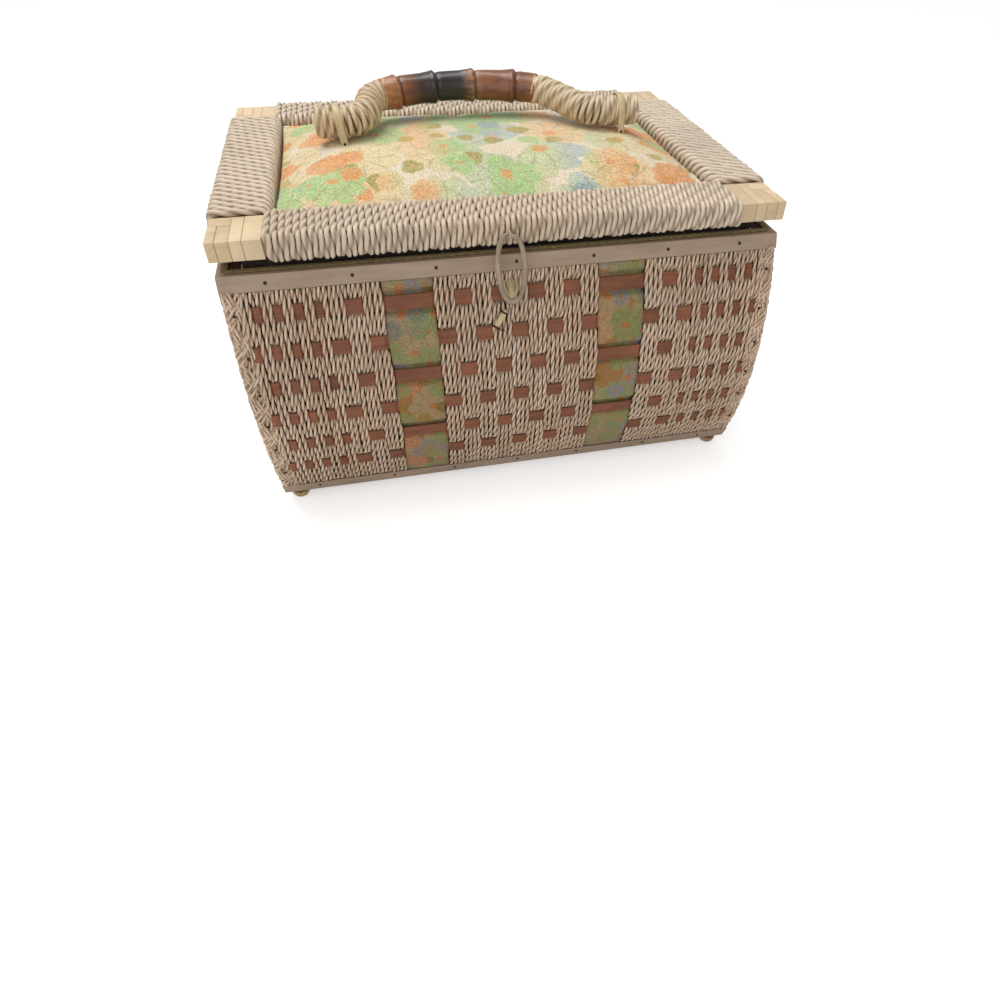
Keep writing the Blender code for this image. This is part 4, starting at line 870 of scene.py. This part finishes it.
def pad_shell(rise):
    """Its points in millimetres, its faces and its rim: a grid on top, upright sides and a flat underside."""
    rows, cols = 53, 77
    u, v = np.meshgrid(np.linspace(-1, 1, cols), np.linspace(-1, 1, rows))
    u, v = (np.sign(w) * (1 - (1 - np.abs(w)) ** CORNER_SPREAD) for w in (u, v))
    x, y = u * (PANEL_X - PANEL_PULL * (1 - v * v)), v * (PANEL_Y - PANEL_PULL * (1 - u * u))
    crown = PAD_RIM + rise * ((1 - u ** 4).clip(0) * (1 - v ** 4).clip(0)) ** 0.62
    top = np.stack([x, y, crown], -1).reshape(-1, 3)
    rim = border(rows, cols)
    verts, faces, above = [top], grid(rows, cols), rim
    for z in UNDERSIDE_EDGES:
        start = sum(len(part) for part in verts)
        verts.append(np.column_stack([top[rim, :2], np.full(len(rim), z)]))
        below = [start + k for k in range(len(rim))]
        faces += band(above, below)
        above = below
    start = sum(len(part) for part in verts)
    verts.append(np.column_stack([top[:, :2], np.full(len(top), PAD_BOTTOM)]))
    faces += grid(rows, cols, start, under=True)
    faces += band(above, [start + k for k in rim])
    verts = np.concatenate(verts)
    return verts, faces, sorted(set(rim) | set(range(len(top), len(verts))))


def settle(obj, pinned, frames=18):
    """Blow the pad's cover out with cloth simulation, its edge held, and give where its points came to."""
    obj.vertex_groups.new(name="held").add(pinned, 1.0, "REPLACE")
    modifier = obj.modifiers.new("cloth", "CLOTH")
    cloth = modifier.settings
    cloth.quality, cloth.mass = 6, 0.12
    cloth.tension_stiffness = cloth.compression_stiffness = 14
    cloth.bending_stiffness = 0.6
    cloth.vertex_group_mass = "held"
    cloth.shrink_min = -0.012
    cloth.use_pressure, cloth.uniform_pressure_force = True, 4.0
    cloth.effector_weights.gravity = 0
    for frame_number in range(1, frames + 1):
        bpy.context.scene.frame_set(frame_number)
    settled = obj.evaluated_get(bpy.context.evaluated_depsgraph_get()).data
    spots = np.empty(len(settled.vertices) * 3, np.float32)
    settled.vertices.foreach_get("co", spots)
    obj.modifiers.remove(modifier)
    obj.vertex_groups.clear()
    bpy.context.scene.frame_set(1)
    return spots.reshape(-1, 3).astype(float)


def make_pad():
    """The panel, blown out, and puckered along its front and back."""
    points, faces, still = pad_shell(SEWN_RISE)
    spots = place_mm(points)
    obj = new_object("stuffed_panel", spots, faces, PAD_COTTON)
    rim_z = PAD_RIM * MM
    shift = (settle(obj, still) - spots) / MM
    far = np.linalg.norm(shift, axis=1, keepdims=True)
    spots = spots + shift * np.minimum(1, MOST_BLOWN / np.maximum(far, 1e-6)) * MM
    rise = spots[:, 2] - rim_z
    share = min(1, (PAD_TOP - PAD_RIM) * MM / rise.max())
    spots[:, 2] = np.where(rise > 0, rim_z + rise * share, spots[:, 2])
    pucker = np.clip(1 - (PANEL_Y - np.abs(spots[:, 1] - MID_Y) / MM) / 14, 0, 1) ** 2
    ripple = np.sin(spots[:, 0] / MM / 5.2 + 2 * np.sin(spots[:, 0] / MM / 17))
    spots[:, 2] += np.where(spots[:, 2] > rim_z + 0.4 * MM, pucker * ripple * 0.28 * MM, 0)
    obj.data.vertices.foreach_set("co", spots.astype(np.float32).ravel())
    finer = obj.modifiers.new("finer", "SUBSURF")
    finer.levels = finer.render_levels = 1
    dress(applied(obj), "lid", "lid_pad")


make_pad()


# The cotton bands of the body
STRIP_TOP, STRIP_LOW, STRIP_WIDTH, STRIP_THICK = 8.9, 162.9, 30, 0.45
PRINT_START = {"left": 0.37, "right": 1.91}         # where on the printed cloth a band is cut, in metres


def cloth_strip(side, part):
    """A band of the same cotton under the lath, behind the splints of the odd rows and before the others."""
    s = np.arange(STRIP_TOP, STRIP_LOW, 0.9)
    across = np.linspace(*CLOTH[part], 15)
    hidden = behind(s, (0, 2, 4), 5.3, 3.6)
    rest = 1.25 + 2.6 * hidden + 0.2 * np.abs(wobble(s, 1.0))
    drift = rng.uniform(0.2, 0.9, 2)
    faces_of_cloth = [[], []]
    for k, u in enumerate(across):
        from_edge = min(k, len(across) - 1 - k)
        sag = rest + 0.35 * max(0, 1 - from_edge / 1.5) + 0.10 * np.sin(s / 4.1 + u / 3.0 + drift[0])
        place = u + 0.25 * np.sin(s / 9 + drift[1]) * (from_edge == 0)
        for face, below in zip(faces_of_cloth, (0, STRIP_THICK)):
            face.append(side_points(side, place, s, sag + below))
    verts = np.concatenate([np.stack(face, 1).reshape(-1, 3) for face in faces_of_cloth])
    rows, cols = len(s), len(across)
    under = rows * cols
    faces = grid(rows, cols) + grid(rows, cols, under, under=True)
    edge = border(rows, cols)
    faces += band(edge, [under + k for k in edge])
    obj = new_object(f"cotton_{side}_{part}", place_mm(verts), faces, STRIP_COTTON_PAINTED_SHADE)
    if side == "back":
        obj.data.flip_normals()
    cut = PRINT_START[part] + (0.8 if side == "back" else 0)
    flat = np.stack(np.meshgrid(across, s), -1).reshape(-1, 2) * MM + cut
    store(obj.data, "print", np.tile(np.pad(flat, ((0, 0), (0, 1))), (2, 1)), "FLOAT_VECTOR")
    dress(obj, "basket", f"cloth_strip_{side}_{part}")


for x_name, y_name in CORNERS:
    cloth_strip(y_name, x_name)


# Flat reed on the lid's bare corners
REEDS = ((0, 10.4, 0, 34.8), (10.4, 17.2, 3.5, 34.8), (17.2, 24.4, 12, 34.8), (24.4, 29.9, 20, 34.8),
         (10.4, 29.9, 0, 3.5), (17.2, 29.9, 3.5, 12), (24.4, 29.9, 12, 20))    # from the inner corner
REED_CORNER, REED_LOW, REED_TOP, REED_SEAM = (140.1, 94.5), 185.8, 197.0, 0.07


def plank(low, high, bevel):
    """Points and faces of a box with rounded edges."""
    bm = bmesh.new()
    bmesh.ops.create_cube(bm, size=1.0)
    low, high = Vector(low), Vector(high)
    for vert in bm.verts:
        vert.co = Vector([(low[k] + high[k]) / 2 + vert.co[k] * (high[k] - low[k]) for k in range(3)])
    bmesh.ops.bevel(bm, geom=bm.edges[:], offset=bevel, segments=2, profile=0.6, affect="EDGES")
    verts = [tuple(v.co) for v in bm.verts]
    faces = [tuple(v.index for v in f.verts) for f in bm.faces]
    bm.free()
    return verts, faces


def corner_reeds(x_side, y_side):
    """The reeds of one corner, each at its own height and in its own tone."""
    signs = (-1 if x_side == "left" else 1), (-1 if y_side == "front" else 1)
    parts, shades = [], []
    for u0, u1, v0, v1 in REEDS:
        top, face = REED_TOP - rng.uniform(0, 0.22), rng.uniform(0, 0.2)
        ends = (u0, u1 - (face if u1 > 29 else 0)), (v0, v1 - (face if v1 > 34 else 0))
        (x0, x1), (y0, y1) = (sorted((sign * (inner + low + REED_SEAM), sign * (inner + high - REED_SEAM)))
                              for sign, inner, (low, high) in zip(signs, REED_CORNER, ends))
        verts, faces = plank((x0, y0, REED_LOW), (x1, y1, top), 0.5)
        parts.append((place_mm(verts), faces))
        shades += [rng.uniform(0.1, 0.9)] * len(verts)
    obj = merged(f"reeds_{y_side}_{x_side}", parts, REED)
    store(obj.data, "shade", shades)
    obj.data.set_sharp_from_angle(angle=math.radians(50))
    dress(obj, "lid", f"corner_wrap_{y_side}_{x_side}")


for x_name, y_name in CORNERS:
    corner_reeds(x_name, y_name)


# Plaits over the upright edges
PLAIT_TOP, PLAIT_LOW, PLAIT_PERIOD, PLAIT_SWING, BACKING_HALF = 8.6, 163.2, 66, 5.4, 9.6


def round_edge(x_side, side, t, s, depth, corner=3.2, reach=168.3, sunk=0.9):
    """A point t along the line over one upright edge, from the woven face at t < 0 to the end at t > 0."""
    t, s, depth = np.broadcast_arrays(t, s, depth)
    bend = np.clip(t / corner + math.pi / 4, 0, math.pi / 2)
    before = np.minimum(t + corner * math.pi / 4, 0)
    after = np.maximum(t - corner * math.pi / 4, 0)
    x = reach - corner + before + (corner + depth) * np.sin(bend)
    inset = sunk + corner + after - (corner + depth) * np.cos(bend)
    points = side_points(side, x, s, inset)
    points[..., 0] *= -1 if x_side == "left" else 1
    return points


def corner_plait(x_side, side):
    """Three strands of four cords, laid over each other in turn, and a dark backing under them that shows as
    painted shade in their gaps.
    """
    s = np.arange(PLAIT_TOP, PLAIT_LOW, 0.8)
    lines = []
    for strand in range(3):
        phase = 2 * np.pi * s / PLAIT_PERIOD + 2 * np.pi * strand / 3
        slope = PLAIT_SWING * np.cos(phase) * 2 * np.pi / PLAIT_PERIOD
        lean = np.sqrt(1 + slope ** 2)
        for number in (-1.5, -0.5, 0.5, 1.5):
            off = number * 2.2
            t = PLAIT_SWING * np.sin(phase) + off / lean + wobble(s, 0.12)
            down = np.clip(s - off * slope / lean, 8.4, PLAIT_LOW)
            points = round_edge(x_side, side, t, down, 0.95 * np.cos(2 * phase) - 0.12 * abs(number))
            lines.append((place_mm(points), np.array([1.0, 0.3, 0])))
    node = f"corner_braid_{side}_{x_side}"
    obj = twisted(f"plait_{side}_{x_side}", lines, BODY_CORD, radius=1.3, lay=16, step=1.1, valley=0.7)
    dress(obj, "basket", node)
    # The dark backing under the cords is painted shade for the gaps between them.
    rows = np.linspace(PLAIT_TOP, PLAIT_LOW, 60)
    across = np.linspace(-BACKING_HALF, BACKING_HALF, 13)
    verts, faces = strip_mesh([round_edge(x_side, side, t, rows, depth)
                               for row, depth in ((across, -1.5), (across[::-1], -2.0)) for t in row])
    shade_backing = new_object(f"plait_shade_backing_{side}_{x_side}", place_mm(verts), faces, WALL)
    dress(shade_backing, "basket", slot=node)


for x_name, y_name in CORNERS:
    corner_plait(x_name, y_name)


# Gimp along the top of the laths
GIMP_X, GIMP_Y, GIMP_Z, GIMP_BEND, GIMP_PERIOD = 165.2, 122.0, 177.55, 3.0, 6.2


def gimp():
    """Four threads plaited flat, once round the rim."""
    path = []
    for quarter, (sx, sy) in enumerate(((1, 1), (-1, 1), (-1, -1), (1, -1))):
        cx, cy = sx * (GIMP_X - GIMP_BEND), sy * (GIMP_Y - GIMP_BEND)
        for a in (math.radians(90 * quarter + turn) for turn in range(0, 91, 15)):
            path.append((cx + GIMP_BEND * math.cos(a), cy + GIMP_BEND * math.sin(a), 0))
    line, along = even(path + path[:1], 0.55)
    way = heading(line)
    out = np.stack([way[:, 1], -way[:, 0], 0 * along], 1)
    lines = []
    for strand in range(4):
        phase = 2 * np.pi * along / GIMP_PERIOD + np.pi * strand / 2
        points = line + out * (1.75 * np.sin(phase))[:, None]
        points[:, 2] = GIMP_Z + 0.3 * np.cos(2 * phase)
        lines.append((place_mm(points), np.array([0, 0, 1.0])))
    obj = twisted("gimp_braid", lines, GIMP, radius=0.62, lay=3, step=0.6, sides=6)
    dress(obj, "basket", "gimp_trim")


gimp()


# Nails, set on their points by geometry nodes
def stud_tree():
    """Small domed heads on a mesh's points, each turned to its point's own direction."""
    n, given, result = node_group(
        "stud_heads", [("Geometry", "Geometry", None), ("Radius", "Float", 0.001),
                       ("Height", "Float", 0.0005), ("Metal", "Material", None)],
        [("Geometry", "Geometry")], "GeometryNodeTree")
    ball = n.add("GeometryNodeMeshUVSphere", Segments=14, Rings=8, Radius=given["Radius"])
    squash = n.add("ShaderNodeCombineXYZ", X=1.0, Y=1.0, Z=n.math("DIVIDE", given["Height"], given["Radius"]))
    head = n.add("GeometryNodeTransform", Geometry=ball.outputs[0], Scale=squash.outputs[0])
    facing = n.add("GeometryNodeInputNamedAttribute", {"data_type": "FLOAT_VECTOR"}, Name="facing")
    turn = n.add("FunctionNodeAlignRotationToVector", {"axis": "Z"}, Vector=facing.outputs[0])
    spread = n.add("GeometryNodeInstanceOnPoints", Points=given["Geometry"], Instance=head.outputs[0],
                   Rotation=turn.outputs[0])
    real = n.add("GeometryNodeRealizeInstances", Geometry=spread.outputs[0])
    coated = n.add("GeometryNodeSetMaterial", Geometry=real.outputs[0], Material=given["Metal"])
    n.set(result, "Geometry", coated.outputs[0])
    return n.tree


STUD_TREE = stud_tree()


def studs(name, body, slot_name, spots, facing, radius, height):
    """Nail heads at the spots, each facing its own way."""
    obj = new_object(name, place_mm(spots), [])
    store(obj.data, "facing", facing, "FLOAT_VECTOR")
    modifier = obj.modifiers.new("heads", "NODES")
    modifier.node_group = STUD_TREE
    values = {"Radius": radius * MM, "Height": height * MM, "Metal": NAIL}
    for socket in STUD_TREE.interface.items_tree:
        if socket.name in values:
            modifier[socket.identifier] = values[socket.name]
    dress(applied(obj), body, slot=slot_name)


NAIL_LOW_Z, NAIL_TOP_Z, LATH_END_X = 14.0, 172.3, 169.75
TOP_NAILS, LOW_NAILS = (-144, -96, -48, 0, 48, 96, 144), (-144.6, -91.4, -47, 0.5, 46.7, 100.2, 146)
EDGE_NAILS, END_NAILS = (21, 46, 70, 93.5, 114, 140), (-88, -44, 0, 44, 88)


def nail_spots():
    """The nails of the laths and of the plaits, and the way each faces."""
    spots, facing = [], []
    low_s = depth_at(NAIL_LOW_Z)
    for side in ("front", "back"):
        rows = [(x, 4.4 + rng.uniform(-0.5, 0.5), 0.35) for x in TOP_NAILS]
        rows += [(x, low_s, 0.35) for x in LOW_NAILS]
        rows += [(sign * rng.uniform(161, 164), s, -1.75) for sign in (-1, 1) for s in EDGE_NAILS]
        for x, s, inset in rows:
            spots.append(side_points(side, np.array(float(x)), np.array(float(s)), inset))
            facing.append(outward(side, s))
    for sign in (-1, 1):
        for y in END_NAILS:
            for z, share in ((NAIL_TOP_Z, 1), (NAIL_LOW_Z, 0.75)):
                spots.append(np.array([sign * LATH_END_X, y * share, z]))
                facing.append((sign, 0, 0))
    return spots, facing


studs("nails", "basket", "top_lath", *nail_spots(), 1.0, 0.55)


# Cane and string of the latch
RING_PIVOT, RING_TILT = np.array([-5.0, -133.9, 191.0]), 0.2167
RING_HALF, RING_DROP, RING_WIRE = 8.05, 18.9, 1.5
STAPLE_X, STAPLE_ROOT_Y, STAPLE_CROWN_Y = -5.0, -127.92, -139.03
STAPLE_CROWN_Z, STAPLE_TOP_Z, STAPLE_HALF = 155.5, 166.0, 4.0
PEG_X, PEG_TOP, PEG_LENGTH, PEG_LEAN = -9.0, 149.0, 13, 0.5236


def latch_ring():
    """A ring bent of one cane, whose thin ends lie past each other, and the string that it hangs in."""
    degrees = np.linspace(-9, 369, 90)
    a = np.radians(degrees)
    drop = RING_DROP * (1 - np.cos(a))
    x = RING_HALF * np.sign(np.sin(a)) * np.abs(np.sin(a)) ** 0.8 * (1 + 0.06 * np.cos(a))
    beside = np.where(degrees < 60, -1, np.where(degrees > 300, 1, 0)) * 0.55
    beside = beside * ease(1 - np.minimum(degrees + 9, 369 - degrees) / 60)
    y, z = beside - drop * math.sin(RING_TILT), beside - drop * math.cos(RING_TILT)
    points = np.stack([x, y, z], 1) + RING_PIVOT
    tip = np.minimum(np.arange(90), np.arange(90)[::-1]) / 7
    radii = RING_WIRE * np.minimum(1, 0.45 + 0.55 * ease(tip)) * (1 + 0.04 * np.sin(7 * a))
    verts, faces = sweep(points, radii, np.array([0, 1.0, 0.1]))
    dress(new_object("cane_ring", place_mm(verts), faces, CANE), "ring", "latch_ring")
    a = np.radians(np.linspace(70, 290, 24))
    loop = np.stack([0.25 * np.sin(3 * a), 2.35 * np.cos(a), 2.35 * np.sin(a)], 1) + RING_PIVOT
    string = twisted("ring_string", [(place_mm(loop), ALONG_X)], HANDLE_CORD, radius=0.6, lay=3, step=0.4)
    dress(string, "lid", "ring_hanger")


def staple():
    """The cane loop on the front: one wider strand and two thinner ones inside it."""
    parts = []
    for wide, wire, lift in ((1.0, 1.1, 0.0), (0.42, 0.62, 0.5), (0.1, 0.6, 0.9)):
        a = np.linspace(0, np.pi, 22)
        share = 0.35 + 0.65 * np.sin(a)
        arch = np.stack([STAPLE_X - STAPLE_HALF * wide * np.cos(a),
                         STAPLE_ROOT_Y + (STAPLE_CROWN_Y - STAPLE_ROOT_Y) * share * (1 - 0.06 * lift),
                         STAPLE_TOP_Z + (STAPLE_CROWN_Z - STAPLE_TOP_Z) * share * (1 - 0.12 * lift)], 1)
        first, last = (np.array([STAPLE_X + sign * STAPLE_HALF * wide, STAPLE_ROOT_Y, STAPLE_TOP_Z])
                       for sign in (-1, 1))
        drop = np.array([0, -1.5, -3.0])
        line, _ = even(np.concatenate([[first, first + drop], arch, [last + drop, last]]), 0.5)
        line[1:-1] = (line[:-2] + 2 * line[1:-1] + line[2:]) / 4
        verts, faces = sweep(line, wire, np.array([0, 0.7, 0.7]))
        parts.append((place_mm(verts), faces))
    dress(merged("cane_loop", parts, PALE_CANE), "basket", "latch_staple")


def peg():
    """The cane peg that hangs in front of the weave, and its dark thread, tied round it twice."""
    def face_y(z):
        return -(half_depth(z) + 2.3)

    low_z = PEG_TOP - PEG_LENGTH * math.cos(PEG_LEAN)
    head = np.array([PEG_X, face_y(PEG_TOP), PEG_TOP - 2.0])
    tail = np.array([PEG_X - PEG_LENGTH * math.sin(PEG_LEAN), face_y(low_z), low_z])
    line = head + (tail - head) * np.linspace(0, 1, 20)[:, None]
    radii = 1.95 - 0.25 * np.linspace(0, 1, 20) + 0.06 * np.sin(np.arange(20))
    radii[[0, -1]] *= 0.86
    verts, faces = sweep(line, radii, sides=16)
    dress(new_object("cane_peg", place_mm(verts), faces, PALE_CANE), "peg", "latch_peg")
    z = np.linspace(160.0, 149.4, 14)
    fallen = z[0] - z
    y = -(half_depth(z) + 0.9) - 0.3 * np.sin(fallen / 3.4)
    run = np.stack([PEG_X + 0.5 * np.sin(fallen / 2.4), y, z], 1)
    lines = [(place_mm(run), ALONG_X)]
    axis = unit(tail - head)
    side = unit(np.cross(axis, ALONG_Y))
    out = np.cross(axis, side)
    for place, radius, loose in ((1.2, 2.2, ()), (11.3, 1.98, (0.5, 1.0, 1.8, 2.6))):
        a = np.linspace(0, 4 * np.pi, 40)[:, None]
        ring = head + axis * (place + a / 11) + side * np.cos(a) * radius + out * np.sin(a) * radius
        tied = np.concatenate([ring, *(ring[-1:] + np.array([1.6, -0.15, -0.45]) * k for k in loose)])
        lines.append((place_mm(tied), np.array([0.3, 1.0, 0.2])))
    thread = twisted("peg_thread", lines, THREAD, radius=0.42, lay=2.5, step=0.4, sides=6)
    dress(thread, "peg", "peg_string")


latch_ring()
staple()
peg()


# Cane straps over the handle's feet
def strap(side, front_x, back_x, radius=10.55):
    """A flat strap over one foot, drawn aside by front_x and back_x at its ends. Gives its nail's place."""
    (x0, _, z0), (x1, _, _) = ([c / MM for c in corner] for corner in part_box("handle_strap_" + side))
    foot = z0 + 0.3
    a = np.linspace(0, math.pi, 26)
    arch = np.stack([0 * a, -radius * np.cos(a), AXIS_Z + radius * np.sin(a)], 1)
    line, along = even(np.concatenate([[[0, -radius, foot]], arch, [[0, radius, foot]]]), 0.7)
    share = along / along[-1]
    line[:, 0] = (x0 + x1) / 2 + front_x * (1 - share) + back_x * share
    verts, faces = sweep(line, 2.3, sides=14, flat=0.30)
    dress(new_object("strap_" + side, place_mm(verts), faces, PALE_CANE), "lid", "handle_strap_" + side)
    return (x0 + x1) / 2 + front_x, -radius - 0.8, z0 + 1.6


STRAP_ENDS = [strap("left", 3.2, -2.6), strap("right", 0.4, -0.4)]
studs("strap_nails", "lid", "top_lath", STRAP_ENDS, [(0, -1, 0.2)] * 2, 0.85, 0.5)


# Floor, background and light
def seen_extra(n, amount):
    """An amount for what the camera sees, and none for the light that falls on the basket."""
    return n.times(n.add("ShaderNodeLightPath").outputs["Is Camera Ray"], amount)


def add_floor():
    mat, n, shader = material("floor", 0.9, Specular_IOR_Level=0.1, Base_Color=(0.9, 0.9, 0.89, 1),
                              Emission_Color=(1, 1, 1, 1))
    n.set(shader, "Emission Strength", seen_extra(n, 0.5))
    bpy.ops.mesh.primitive_plane_add(size=8, location=(0, 0, CAD_BOX[0].z))
    floor = bpy.context.object
    floor.name = "floor"
    floor.data.materials.append(mat)


LAMPS = (("key", (-0.25, 0.25, 1.3), 11.5, 0.9),    # name, place, power and size
         ("fill", (-0.5, -1.5, 0.8), 6.5, 1.4))


def add_light():
    """A white world at half strength, a key lamp above and a soft fill from the front."""
    scene = bpy.context.scene
    scene.view_settings.view_transform = "Standard"
    world = bpy.data.worlds.new("world")
    scene.world = world
    world.use_nodes = True
    n = Nodes(world.node_tree)
    sky = world.node_tree.nodes["Background"]
    n.set(sky, "Color", (1, 1, 1, 1))
    n.set(sky, "Strength", n.plus(seen_extra(n, 0.5), 0.5))
    for name, spot, energy, size in LAMPS:
        data = bpy.data.lights.new(name, "AREA")
        data.energy, data.size = energy, size
        lamp = bpy.data.objects.new(name, data)
        scene.collection.objects.link(lamp)
        lamp.location = spot
        lamp.rotation_mode = "QUATERNION"
        lamp.rotation_quaternion = (Vector((0, 0, 0.1)) - Vector(spot)).to_track_quat("-Z", "Y")


add_floor()
add_light()
